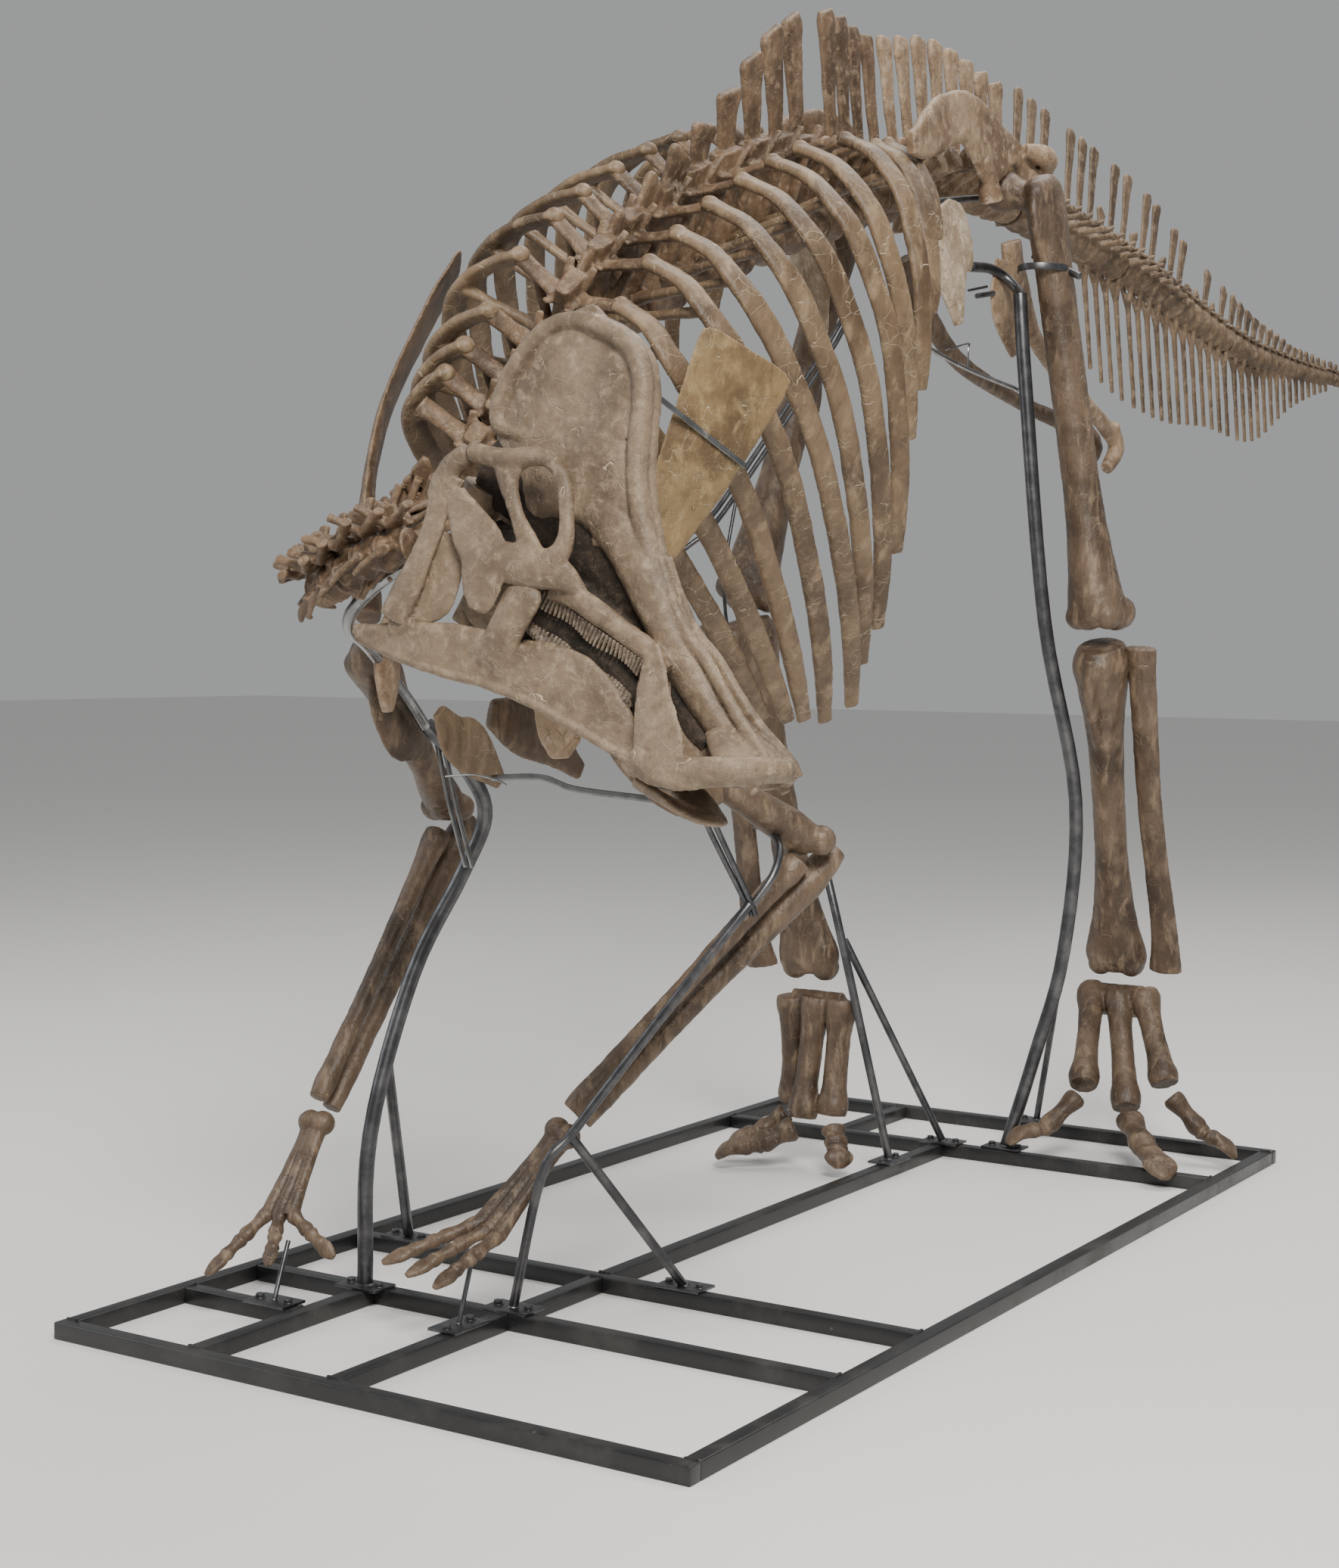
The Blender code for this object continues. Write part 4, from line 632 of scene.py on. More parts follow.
@dataclass
class Workshop:
    """Makes pieces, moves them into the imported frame, and dresses and files them."""

    shift: Array
    materials: dict[str, bpy.types.Material] = field(default_factory=dict)
    textures: dict[str, bpy.types.Texture] = field(default_factory=dict)

    def material(self, finish: Any) -> bpy.types.Material:
        """The finish's material, made the first time it is asked for."""
        if finish.name not in self.materials:
            self.materials[finish.name] = finish.make()
        return self.materials[finish.name]

    def texture(self, name: str, kind: str, size: float) -> bpy.types.Texture:
        """A relief texture.

        Args:
            name: what it is kept under.
            kind: the texture's type.
            size: its clouds in metres.

        Returns:
            The texture, made the first time it is asked for.
        """
        if name not in self.textures:
            texture = bpy.data.textures.new(name, kind)
            texture.noise_scale = size
            self.textures[name] = texture
        return self.textures[name]

    def file(self, piece: Piece, finish: Any, nodes: Iterable[str]) -> Piece:
        """Dresses a finished mesh, hangs it on the body and hides the CAD nodes that it stands for.

        Args:
            piece: the new object.
            finish: its finish.
            nodes: the CAD nodes that it stands for.

        Returns:
            The same object.
        """
        piece.data.materials.clear()
        piece.data.materials.append(self.material(finish))
        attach(piece, BODY)
        names = list(nodes)
        if names:
            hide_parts(*names)
        log.info("%s: %d faces for %s", piece.name, len(piece.data.polygons), ", ".join(names) or "detail")
        return piece

    def bone(self, name: str, shells: Iterable[Shell], finish: FossilFinish, nodes: Iterable[str] = (),
             relief: Relief = Relief(), bore: Shell | None = None) -> Piece:
        """Melts shells into one bone with a rough, cracked skin.

        Args:
            name: the piece's name.
            shells: the overlapping shells.
            finish: its finish.
            nodes: the CAD nodes that it stands for.
            relief: how its skin is made.
            bore: a shell that is cut out.

        Returns:
            The finished piece.
        """
        raw = welded_mesh(name + "_raw", shells, self.shift)
        melt = raw.modifiers.new("melt", "REMESH")
        melt.mode = "VOXEL"
        melt.voxel_size = relief.voxel
        cutter = welded_mesh(name + "_bore", [bore], self.shift) if bore else None
        if cutter:
            cut = raw.modifiers.new("cut", "BOOLEAN")
            cut.operation = "DIFFERENCE"
            cut.object = cutter
        even = raw.modifiers.new("even", "SMOOTH")
        even.factor = 0.5
        even.iterations = relief.smooth
        for key, size, height in (("lumps", 0.055, relief.lumps), ("pits", 0.014, relief.pits)):
            press = raw.modifiers.new(key, "DISPLACE")
            press.texture = self.texture(key, "CLOUDS", size)
            press.texture_coords = "LOCAL"
            press.strength = height
            press.mid_level = 0.5
        piece = self.settled(raw, name)
        if cutter:
            bpy.data.objects.remove(cutter, do_unlink=True)
        return self.file(piece, finish, nodes)

    def sided(self, bone: str, side: Side, shells: Iterable[Shell], finish: FossilFinish,
              relief: Relief = Relief()) -> None:
        """Makes the bone of one side, which stands for the CAD node of its name."""
        self.bone(f"{bone}_bone_{side.word}", shells, finish, (f"{bone}_{side.word}",), relief)

    def settled(self, raw: Piece, name: str) -> Piece:
        """Applies a raw object's modifiers.

        Args:
            raw: the object with modifiers, which is removed.
            name: the new object's name.

        Returns:
            A plain mesh object.
        """
        bpy.context.view_layer.update()
        graph = bpy.context.evaluated_depsgraph_get()
        mesh = bpy.data.meshes.new_from_object(raw.evaluated_get(graph))
        mesh.name = name
        old = raw.data
        bpy.data.objects.remove(raw, do_unlink=True)
        bpy.data.meshes.remove(old)
        mesh.shade_smooth()
        piece = bpy.data.objects.new(name, mesh)
        bpy.context.scene.collection.objects.link(piece)
        return piece

    def steel(self, name: str, shells: Iterable[Shell], finish: Any, nodes: Iterable[str] = (),
              bevel: float = 0.0015) -> Piece:
        """Gathers steel shells in one piece with eased edges.

        Args:
            name: the piece's name.
            shells: its closed shells.
            finish: its finish.
            nodes: the CAD nodes that it stands for.
            bevel: width of the eased edges.

        Returns:
            The finished piece.
        """
        raw = welded_mesh(name + "_raw", shells, self.shift)
        ease = raw.modifiers.new("ease", "BEVEL")
        ease.width = bevel
        ease.segments = 3
        ease.limit_method = "ANGLE"
        ease.angle_limit = math.radians(50)
        piece = self.settled(raw, name)
        sharp = piece.data.attributes.get("sharp_edge")
        if sharp is None:
            piece.data.set_sharp_from_angle(angle=math.radians(40))
        return self.file(piece, finish, nodes)


# ---- backbone
@dataclass(frozen=True)
class Station:
    """Where a vertebra stands: its middle and its own directions."""

    center: Array
    forward: Array
    up: Array
    left: Array
    upright: Array


@dataclass(frozen=True)
class Vertebra:
    """Sizes of one vertebra, in metres."""

    half_length: float
    radius: float
    arch: float
    blade: float
    thickness: float
    number: int = 0

    def shells(self, at: Station, tip: Array) -> list[Shell]:
        """Builds a waisted centrum with raised rims, an arch with its joint knobs, and a flat neural spine.

        Args:
            at: where it stands.
            tip: the top of its neural spine.

        Returns:
            Its overlapping shells.
        """
        forward, up, left = at.forward, at.up, at.left
        marks = (-1.0, -0.86, -0.62, 0.0, 0.62, 0.86, 1.0)
        ends = [at.center + forward * self.half_length * t for t in marks]
        swell = self.radius * vec(0.9, 1.04, 0.9, 0.74, 0.9, 1.04, 0.9)
        shells = [loft(ends, swell, swell, left, sides=18)]
        foot = at.center + up * self.radius * 0.3
        top = at.center + up * self.arch
        shells.append(loft([foot, lerp(foot, top, 0.55), top],
                           self.radius * vec(0.7, 0.46, 0.36),
                           self.half_length * vec(0.78, 0.62, 0.8), left, power=3.0))
        for way in (-1, 1):
            for side in Side:
                root = at.center + up * self.arch * 0.78 + left * side * self.radius * 0.25
                end = (at.center + up * self.arch * (0.95 - 0.1 * way) + left * side * self.radius * 0.5
                       + forward * way * self.half_length * 0.98)
                shells.append(loft([root, end], self.radius * vec(0.24, 0.17), self.radius * vec(0.2, 0.1),
                                   left, sides=10))
        base = at.center + up * self.arch * 0.7
        uneven = 1 + wobble(self.number, 0.06)
        stations = ((0.0, 0.8, 0.9), (0.2, 0.66, 0.75), (0.45, 0.8, 0.72), (0.75, 0.95, 0.85),
                    (0.93, 1.06 * uneven, 1.12), (1.0, 0.86 * uneven, 0.85))
        middle = [lerp(base, tip, t) + forward * wobble(self.number + 9 * t, 0.002) for t, _, _ in stations]
        shells.append(loft(middle, [self.blade * w for _, w, _ in stations],
                           [self.thickness * d for _, _, d in stations], forward, power=2.8, dent=0.25))
        return shells


@dataclass
class Backbone:
    """Dorsal and sacral vertebrae: 1 to 18 are dorsal, 19 to 26 sacral."""

    shop: Workshop
    last_dorsal: int = 18
    last_sacral: int = 26
    centrum: float = 0.055
    cross_reach: float = 0.115
    knots: Row = (1, 3, 5, 7, 9, 12, 15, 18, 22, 26)
    across: Row = (-0.13, -0.115, -0.09, -0.075, -0.06, -0.05, -0.05, -0.05, -0.05, -0.05)
    back: Row = (0.55, 0.665, 0.8, 0.98, 1.225, 1.615, 1.91, 2.14, 2.48, 2.84)
    height: Row = (1.71, 1.825, 1.982, 2.09, 2.205, 2.355, 2.45, 2.54, 2.61, 2.63)
    roll: Row = (28, 28, 28, 25, 20, 12, 5, 0, 0, 0)
    spine: Row = (0.16, 0.19, 0.215, 0.3, 0.33, 0.435, 0.461, 0.377, 0.371, 0.319)
    lean: Row = (0.3, 0.1, -0.15, -0.12, -0.28, -0.42, -0.3, -0.24, -0.15, -0.13)
    cross_rise: Row = (0.17, 0.2, 0.225, 0.25, 0.26, 0.235, 0.165, 0.12, 0.07, 0.05)
    missing_spine: int = 14

    def read(self, values: Row, index: float) -> float:
        """A size at that vertebra."""
        return float(spline(self.knots, values, index))

    def station(self, index: float) -> Station:
        """Finds a trunk vertebra.

        Args:
            index: its number, counted from the neck.

        Returns:
            Where it stands and how it is rolled.
        """
        at = np.array([index - 0.2, index, index + 0.2])
        path = np.stack([spline(self.knots, v, at) for v in (self.across, self.back, self.height)], axis=1)
        ends = (path[0], path[2]) if index < self.last_sacral else (path[0], path[1])
        forward = unit(ends[0] - ends[1])
        roll = math.radians(self.read(self.roll, index))
        upright = vec(math.sin(roll), 0, math.cos(roll))
        left = unit(np.cross(upright, forward))
        return Station(path[1], forward, np.cross(forward, left), left, upright)

    def cross_tip(self, index: float, side: Side) -> Array:
        """The outer end of a transverse process."""
        at = self.station(index)
        return at.center + at.left * side * self.cross_reach + at.up * self.read(self.cross_rise, index)

    def spine_tip(self, index: int) -> Array:
        """The top of a neural spine."""
        at = self.station(index)
        lean = self.read(self.lean, index)
        height = self.read(self.spine, index) * (0.42 if index == self.missing_spine else 1.0)
        return at.center + unit(at.upright + Y * lean) * height * math.sqrt(1 + lean**2)

    def vertebra(self, index: int) -> list[Shell]:
        """Builds one trunk vertebra.

        Args:
            index: its number.

        Returns:
            Its shells.
        """
        at = self.station(index)
        rise = self.read(self.cross_rise, index)
        first = max(index - 1, 1)
        step = np.linalg.norm(self.station(first).center - self.station(first + 1).center)
        blade = min(0.043, step * 0.37)
        body = Vertebra(step / 2 - 0.002, self.centrum, max(rise, 0.09), blade, 0.013, index)
        shells = body.shells(at, self.spine_tip(index))
        if index <= self.last_dorsal:
            for side in Side:
                tip = self.cross_tip(index, side) + at.left * side * 0.012
                root = at.center + at.up * rise * 0.75
                shells.append(loft([root, lerp(root, tip, 0.5), tip], [0.03, 0.022, 0.022],
                                   [0.016, 0.01, 0.013], at.forward, sides=10))
                strut = at.center + at.up * 0.04 + at.left * side * 0.02
                shells.append(loft([strut, lerp(root, tip, 0.6) - at.up * 0.01], [0.012, 0.008],
                                   [0.016, 0.01], at.forward, sides=8))
        return shells

    def build(self) -> None:
        """Builds the dorsal vertebrae and the sacrum."""
        shells = [shell for index in range(1, self.last_dorsal + 1) for shell in self.vertebra(index)]
        self.shop.bone("dorsal_vertebrae", shells, SPINE_BONE, ("rib_cage_left", "rib_cage_right"))
        sacrum: list[Shell] = []
        for index in range(self.last_dorsal + 1, self.last_sacral + 1):
            sacrum.extend(self.vertebra(index))
            at = self.station(index)
            for side in Side:
                reach = at.center + at.left * side * 0.135 + at.up * 0.06
                sacrum.append(loft([at.center, lerp(at.center, reach, 0.6), reach], [0.026, 0.018, 0.024],
                                   [0.032, 0.022, 0.036], at.forward, sides=10))
        gap = self.station(self.last_dorsal + 1).forward * 0.012
        self.shop.bone("sacral_vertebrae", moved(sacrum, -gap), HIP_BONE, ("sacrum",))


@dataclass
class RibCage:
    """The ribs of both sides, hung from the transverse processes."""

    shop: Workshop
    spine: Backbone
    vertebrae: tuple[int, ...] = (2, 3, 4, 5, 6, 7, 8, 9, 10, 11, 13, 15, 16)
    knots: Row = (2, 4, 6, 7, 8, 9, 10, 11, 12.5, 14, 16)
    drop: Row = (0.56, 0.7, 0.92, 0.96, 0.94, 0.93, 0.82, 0.62, 0.58, 0.54, 0.24)
    rake: Row = (0.72, 0.7, 0.68, 0.71, 0.58, 0.48, 0.32, 0.17, 0.08, -0.02, -0.02)
    rake_start: float = 0.1
    roll_share: float = 0.4
    chest_drop: Row = (0.0, 0.03, 0.08, 0.13, 0.22, 0.32, 0.47, 0.67, 0.92, 1.12)
    chest_half: Row = (0.115, 0.21, 0.28, 0.325, 0.365, 0.395, 0.405, 0.395, 0.345, 0.27)
    scale_at: Row = (2, 4, 6, 10, 12, 16)
    scale: Row = (0.42, 0.7, 0.95, 1.0, 0.85, 0.58)
    half_width: float = 0.025
    half_depth: float = 0.0115

    def path(self, index: int, side: Side) -> Array:
        """Finds the middle line of one rib.

        Args:
            index: its vertebra.
            side: its side.

        Returns:
            Points from the transverse process down to its end.
        """
        start = self.spine.cross_tip(index, side)
        roll = self.roll_share * math.radians(self.spine.read(self.spine.roll, index))
        upright = vec(math.sin(roll), 0, math.cos(roll))
        left = vec(math.cos(roll), 0, -math.sin(roll))
        drop_end = float(spline(self.knots, self.drop, index))
        rake = float(spline(self.knots, self.rake, index))
        scale = np.interp(index, self.scale_at, self.scale)
        drops = np.concatenate([[0.0, 0.03, 0.08, 0.14], np.linspace(0.22, drop_end, 6)])
        points = []
        for drop in drops:
            reach = (float(spline(self.chest_drop, self.chest_half, drop)) - self.spine.cross_reach) * scale
            sweep = rake * max(drop - self.rake_start, 0) / (drop_end - self.rake_start)
            points.append(start + left * side * reach - upright * drop + Y * sweep)
        return np.array(points)

    def rib(self, index: int, side: Side) -> list[Shell]:
        """Builds one rib with its head, neck and tubercle.

        Args:
            index: its vertebra.
            side: its side.

        Returns:
            Its shells.
        """
        points = self.path(index, side)
        t = np.linspace(0, 1, len(points))
        swell = (1.15, 1.02, 1.12, 1.0, 1.0, 0.72)
        widths = self.half_width * np.interp(t, (0, 0.12, 0.3, 0.6, 0.85, 1), swell)
        depths = self.half_depth * np.interp(t, (0, 0.12, 0.3, 0.85, 1), (1.25, 1.2, 1.0, 1.0, 0.75))
        flat = (0.5, 0.85, 0.0) if side is Side.LEFT else (0.2, 0.97, 0.0)
        shells = [loft(points, widths, depths, flat, steps=6, power=2.4, dent=0.12)]
        at = self.spine.station(index)
        head = at.center + at.up * 0.06 + at.left * side * 0.035
        shells.append(loft([points[2], lerp(points[2], head, 0.5), head], [0.017, 0.013, 0.02],
                           [0.012, 0.01, 0.016], at.forward, sides=12))
        shells.append(knob(points[0] + at.left * side * 0.004, at.up, 0.021, at.forward, 0.9))
        return shells

    def build(self) -> None:
        """Builds the ribs of each side as one piece."""
        for side in Side:
            shells = [shell for index in self.vertebrae for shell in self.rib(index, side)]
            self.shop.bone(f"ribs_{side.word}", shells, RIB_BONE, (f"rib_cage_{side.word}",),
                           Relief(0.0038, 5, 0.004, 0.0012))


# ---- neck
@dataclass
class Neck:
    """Thirteen neck vertebrae in a deep bow from the chest to the skull."""

    shop: Workshop
    count: int = 13
    rear_count: int = 6
    path: Path = ((-0.142, 0.5, 1.66), (-0.188, 0.475, 1.63), (-0.225, 0.42, 1.59),
                               (-0.238, 0.31, 1.535), (-0.19, 0.19, 1.505), (-0.1, 0.13, 1.515),
                               (-0.02, 0.115, 1.55), (0.075, 0.125, 1.575))
    rise: Path = ((0.1, -0.6, 0.8), (-0.2, -0.5, 0.85), (-0.5, -0.3, 0.85), (-0.7, 0.1, 0.75),
                               (-0.55, -0.25, 0.8), (-0.45, -0.2, 0.85), (-0.4, 0.0, 0.9), (-0.4, 0.0, 0.9))

    def station(self, t: float) -> Station:
        """Finds a place on the neck: t runs from 0 at the chest to 1 at the skull."""
        knots = np.linspace(0, 1, len(self.path))
        center = spline(knots, self.path, t)
        before, after = (spline(knots, self.path, place) for place in (max(t - 0.02, 0), min(t + 0.02, 1)))
        forward = unit(after - before)
        up = spline(knots, self.rise, t)
        up = unit(up - (up @ forward) * forward)
        return Station(center, forward, up, np.cross(up, forward), up)

    def vertebra(self, number: int) -> list[Shell]:
        """Builds one neck vertebra with its joint arms, stubs and short rib.

        Args:
            number: its place, counted from the chest.

        Returns:
            Its shells.
        """
        t = (number + 0.5) / self.count
        at = self.station(t)
        ends = [self.station(n / self.count).center for n in (number, number + 1)]
        half = np.linalg.norm(ends[1] - ends[0]) / 2 + 0.001
        height = np.interp(t, (0, 0.2, 0.85, 0.93, 1), (0.13, 0.085, 0.075, 0.11, 0.06))
        tip = at.center + at.up * height - at.forward * 0.015
        shells = Vertebra(half, 0.036, 0.055, 0.022, 0.009, number).shells(at, tip)
        for side in Side:
            out = at.left * side
            for reach in (0.062, -0.05) if number else (0.062,):
                root = at.center + at.up * 0.045 + out * 0.02
                end = at.center + at.up * (0.078 - reach * 0.2) + out * 0.047 + at.forward * reach
                shells.append(loft([root, lerp(root, end, 0.6), end], [0.017, 0.011, 0.013],
                                   [0.011, 0.008, 0.009], out, sides=10))
            stub = at.center + out * 0.058 - at.up * 0.005
            shells.append(loft([at.center + at.up * 0.01, stub], [0.016, 0.012], [0.012, 0.01], at.forward,
                               sides=10))
            if number:
                shells.append(loft([stub - out * 0.01, stub - at.forward * 0.035 - at.up * 0.012,
                                    stub - at.forward * 0.07 - at.up * 0.03], [0.011, 0.009, 0.005],
                                   [0.009, 0.007, 0.005], out, sides=10))
        return shells

    def build(self) -> None:
        """Builds the two parts of the neck."""
        for name, first, last in (("rear", 0, self.rear_count), ("front", self.rear_count, self.count)):
            shells = [shell for number in range(first, last) for shell in self.vertebra(number)]
            if name == "front":
                shells = moved(shells, self.station(first / self.count).forward * 0.03)
            self.shop.bone(f"neck_bones_{name}", shells, SPINE_BONE, (f"neck_{name}",),
                           Relief(0.003, 3, 0.003, 0.0012))


# ---- tail
@dataclass
class Tail:
    """Fifty-four tail vertebrae with spines, side processes and chevrons, in four joined parts."""

    shop: Workshop
    count: int = 54
    knots: Row = (1, 6, 12, 18, 24, 30, 38, 46, 54)
    back: Row = (2.93, 3.38, 3.87, 4.36, 4.84, 5.3, 5.88, 6.4, 6.85)
    height: Row = (2.63, 2.603, 2.564, 2.494, 2.443, 2.436, 2.443, 2.43, 2.4)
    spine: Row = (0.34, 0.31, 0.28, 0.2, 0.15, 0.095, 0.045, 0.022, 0.012)
    lean: Row = (0.05, 0.12, 0.18, 0.25, 0.3, 0.35, 0.4, 0.4, 0.4)
    depth: Row = (0.1, 0.36, 0.42, 0.34, 0.3, 0.14, 0.03, 0.02, 0.012)
    centrum: Row = (0.058, 0.056, 0.05, 0.044, 0.038, 0.031, 0.023, 0.016, 0.009)
    broken: tuple[int, ...] = (4, 8, 11, 14, 17, 18, 20)
    chevrons: tuple[int, int] = (6, 36)
    last_cross: int = 16
    parts: tuple[tuple[int, int], ...] = ((1, 9), (10, 21), (22, 36), (37, 54))
    gaps: Row = (0.022, 0.042, 0.062, 0.074)

    def read(self, values: Row, index: float) -> float:
        """A size at that vertebra."""
        return float(spline(self.knots, values, index))

    def station(self, index: float) -> Station:
        """Finds a tail vertebra, counted from the hip."""
        center = vec(MIDLINE, self.read(self.back, index), self.read(self.height, index))
        rise = self.read(self.height, index + 0.4) - self.read(self.height, index - 0.4)
        run = self.read(self.back, index + 0.4) - self.read(self.back, index - 0.4)
        forward = -unit(vec(0, run, rise))
        return Station(center, forward, np.cross(forward, X), X, Z)

    def vertebra(self, index: int) -> list[Shell]:
        """Builds one tail vertebra.

        Args:
            index: its number, counted from the hip.

        Returns:
            Its shells.
        """
        at = self.station(index)
        next_one = self.station(min(index + 1, self.count)).center
        step = np.linalg.norm(next_one - self.station(min(index, self.count - 1)).center)
        radius = self.read(self.centrum, index)
        height = self.read(self.spine, index) * (0.45 if index in self.broken else 1.0)
        lean = self.read(self.lean, index)
        tip = at.center + unit(Z + Y * lean) * height
        body = Vertebra(step / 2, radius, radius * 1.55, min(0.026, step * 0.32), 0.0085, index)
        shells = body.shells(at, tip)
        if index <= self.last_cross:
            for side in Side:
                reach = X * side * np.interp(index, (1, self.last_cross), (0.15, 0.06))
                end = at.center + reach + Z * 0.01
                shells.append(loft([at.center, lerp(at.center, end, 0.5), end], [0.024, 0.014, 0.016],
                                   [0.013, 0.008, 0.009], at.forward, sides=10))
        if self.chevrons[0] <= index <= self.chevrons[1]:
            depth = self.read(self.depth, index)
            root = at.center - at.forward * step / 2
            low = root - Z * depth + Y * depth * 0.22
            for side in Side:
                shells.append(loft([root + X * side * radius * 0.45, lerp(root, low, 0.3)],
                                   [0.01, 0.009], [0.009, 0.007], at.forward, sides=10))
            shells.append(loft([lerp(root, low, 0.22), lerp(root, low, 0.6), low], [0.011, 0.013, 0.011],
                               [0.009, 0.006, 0.006], at.forward, sides=10))
        return shells

    def build(self) -> None:
        """Builds the four parts of the tail."""
        voxels = (0.004, 0.0036, 0.003, 0.0022)
        for number, (first, last) in enumerate(self.parts):
            shells = [shell for index in range(first, last + 1) for shell in self.vertebra(index)]
            shift = -self.station(first).forward * self.gaps[number]
            self.shop.bone(f"tail_bones_{number + 1}", moved(shells, shift), TAIL_BONE,
                           (f"tail_{number + 1}",), Relief(voxels[number], 3, 0.003, 0.0012))


# ---- pelvis
@dataclass
class Pelvis:
    """Ilium, pubis and ischium of each side."""

    shop: Workshop
    half_spread: float = 0.195
    blade: Path = (
        (1.865, 2.565, 2.62), (1.93, 2.565, 2.66), (2.03, 2.595, 2.73), (2.12, 2.635, 2.765),
        (2.2, 2.65, 2.785), (2.28, 2.62, 2.785), (2.35, 2.575, 2.77), (2.42, 2.6, 2.75),
        (2.52, 2.655, 2.725), (2.62, 2.6, 2.7), (2.7, 2.59, 2.67), (2.78, 2.59, 2.64),
        (2.85, 2.595, 2.615))
    wing: Path = ((2.09, 2.485), (2.11, 2.45), (2.155, 2.38), (2.155, 2.34), (2.175, 2.28),
                               (2.205, 2.205))

    def ilium(self, side: Side) -> None:
        """Builds the long upper hip blade with its two feet and outer crest."""
        at = MIDLINE + side * self.half_spread
        outline = np.array(self.blade)
        x = at + side * np.interp(outline[:, 0], (1.86, 2.1, 2.5, 2.85), (0.03, 0.01, 0.0, -0.01))
        points = np.stack([x, outline[:, 0], outline[:, 1:].mean(1)], axis=1)
        shells = [loft(points, (outline[:, 2] - outline[:, 1]) / 2, 0.016, Z, power=2.6, sides=20, dent=0.3)]
        for foot, top in (((2.385, 2.54), (2.34, 2.66)), ((2.655, 2.535), (2.63, 2.66))):
            ends = [vec(at, *foot), lerp(vec(at, *foot), vec(at, *top), 0.5), vec(at, *top)]
            shells.append(loft(ends, [0.036, 0.032, 0.05], [0.034, 0.022, 0.018], Y))
        crest = [vec(at + side * 0.01, 2.56, 2.7), vec(at + side * 0.045, 2.63, 2.69),
                 vec(at + side * 0.01, 2.7, 2.665)]
        shells.append(loft(crest, [0.02, 0.03, 0.02], [0.02, 0.026, 0.02], Z))
        self.shop.sided("ilium", side, shells, HIP_BONE)

    def pubis(self, side: Side) -> None:
        """Builds the broad pale front plate."""
        at = MIDLINE + side * self.half_spread
        points = [(at, y, z) for y, z in self.wing]
        thick = (0.01, 0.012, 0.013, 0.012, 0.011, 0.01)
        edge = ((at + side * 0.008, 2.035, 2.44), (at + side * 0.01, 2.1, 2.33),
                (at + side * 0.008, 2.19, 2.205))
        lip = (0.008, 0.01, 0.006)
        wide = (0.05, 0.105, 0.125, 0.1, 0.06, 0.02)
        shells = [loft(points, wide, thick, Y, sides=24, power=2.6, dent=0.2), loft(edge, lip, lip, Y)]
        self.shop.sided("pubis", side, shells, PALE_BONE)

    def ischium(self) -> None:
        """Builds the two rear rods with their plates and boot-shaped ends."""
        at = 0.115
        rod_sizes = ((0.04, 0.028, 0.022, 0.03), (0.016, 0.018, 0.018, 0.02))
        left = [loft(((at, 2.575, 2.47), (at, 2.6, 2.4), (at, 2.66, 2.32)), (0.05, 0.055, 0.05),
                     (0.022, 0.018, 0.016), Y),
                loft(((at, 2.555, 2.41), (at, 2.55, 2.35), (at, 2.54, 2.3), (at, 2.57, 2.24),
                      (at, 2.61, 2.175)), (0.075, 0.085, 0.085, 0.062, 0.022),
                     (0.013, 0.012, 0.011, 0.01, 0.009), Y, sides=20),
                loft(((at, 2.63, 2.38), (at, 2.76, 2.22), (0.11, 3.12, 2.09), (0.1, 3.34, 2.015)),
                     *rod_sizes, Z, steps=8),
                loft(((0.1, 3.33, 2.045), (0.1, 3.37, 1.98), (0.095, 3.31, 1.92)), (0.03, 0.034, 0.022),
                     (0.022, 0.022, 0.018), Y)]
        slot = loft(((at - 0.04, 2.581, 2.24), (at + 0.04, 2.581, 2.24)), 0.014, 0.021, Y, 20, 1)
        self.shop.bone("ischium_bone_left", left, HIP_BONE, ("ischium_left",), bore=slot)
        at = -0.2
        right = [loft(((at, 2.575, 2.45), (at, 2.62, 2.36), (-0.17, 2.68, 2.26)), (0.05, 0.055, 0.04),
                      (0.022, 0.018, 0.018), Y),
                 loft(((-0.175, 2.67, 2.3), (-0.15, 2.83, 2.19), (-0.09, 3.13, 2.1), (0.02, 3.33, 2.03)),
                      *rod_sizes, Z, steps=8),
                 loft(((0.02, 3.32, 2.05), (0.04, 3.36, 1.99), (0.035, 3.3, 1.93)), (0.03, 0.034, 0.022),
                      (0.018, 0.018, 0.016), Y)]
        self.shop.bone("ischium_bone_right", right, LIMB_BONE, ("ischium_right",))

    def build(self) -> None:
        """Builds every hip bone."""
        for side in Side:
            self.ilium(side)
            self.pubis(side)
        self.ischium()


# ---- limbs
def shaft(a: Point, b: Point, stations: Sequence[Row], side: Point, steps: int = 4,
          bow: Point = (0.0, 0.0, 0.0), sides: int = 18) -> Shell:
    """Builds a long bone.

    Args:
        a: its upper end.
        b: its lower end.
        stations: a share of its length, half width and half depth for each section.
        side: the direction of its width.
        steps: sections between two stations.
        bow: how far its middle is pushed sideways.
        sides: corners of a section.

    Returns:
        The closed shell.
    """
    bend = np.asarray(bow, float)
    points = [lerp(a, b, t) + bend * math.sin(math.pi * min(max(t, 0), 1)) for t, _, _ in stations]
    return loft(points, [w for _, w, _ in stations], [d for _, _, d in stations], side, sides=sides,
                steps=steps)


def ridge(a: Point, b: Point, out: Array, marks: Iterable[Point]) -> list[Array]:
    """Places beside the line from a to b: each mark is a share of the line and a height towards out."""
    return [lerp(a, b, share) + out * height for share, height in marks]


def facing_front(direction: Array) -> Array:
    """The given direction or its opposite, whichever faces -Y."""
    return direction if direction[1] < 0 else -direction


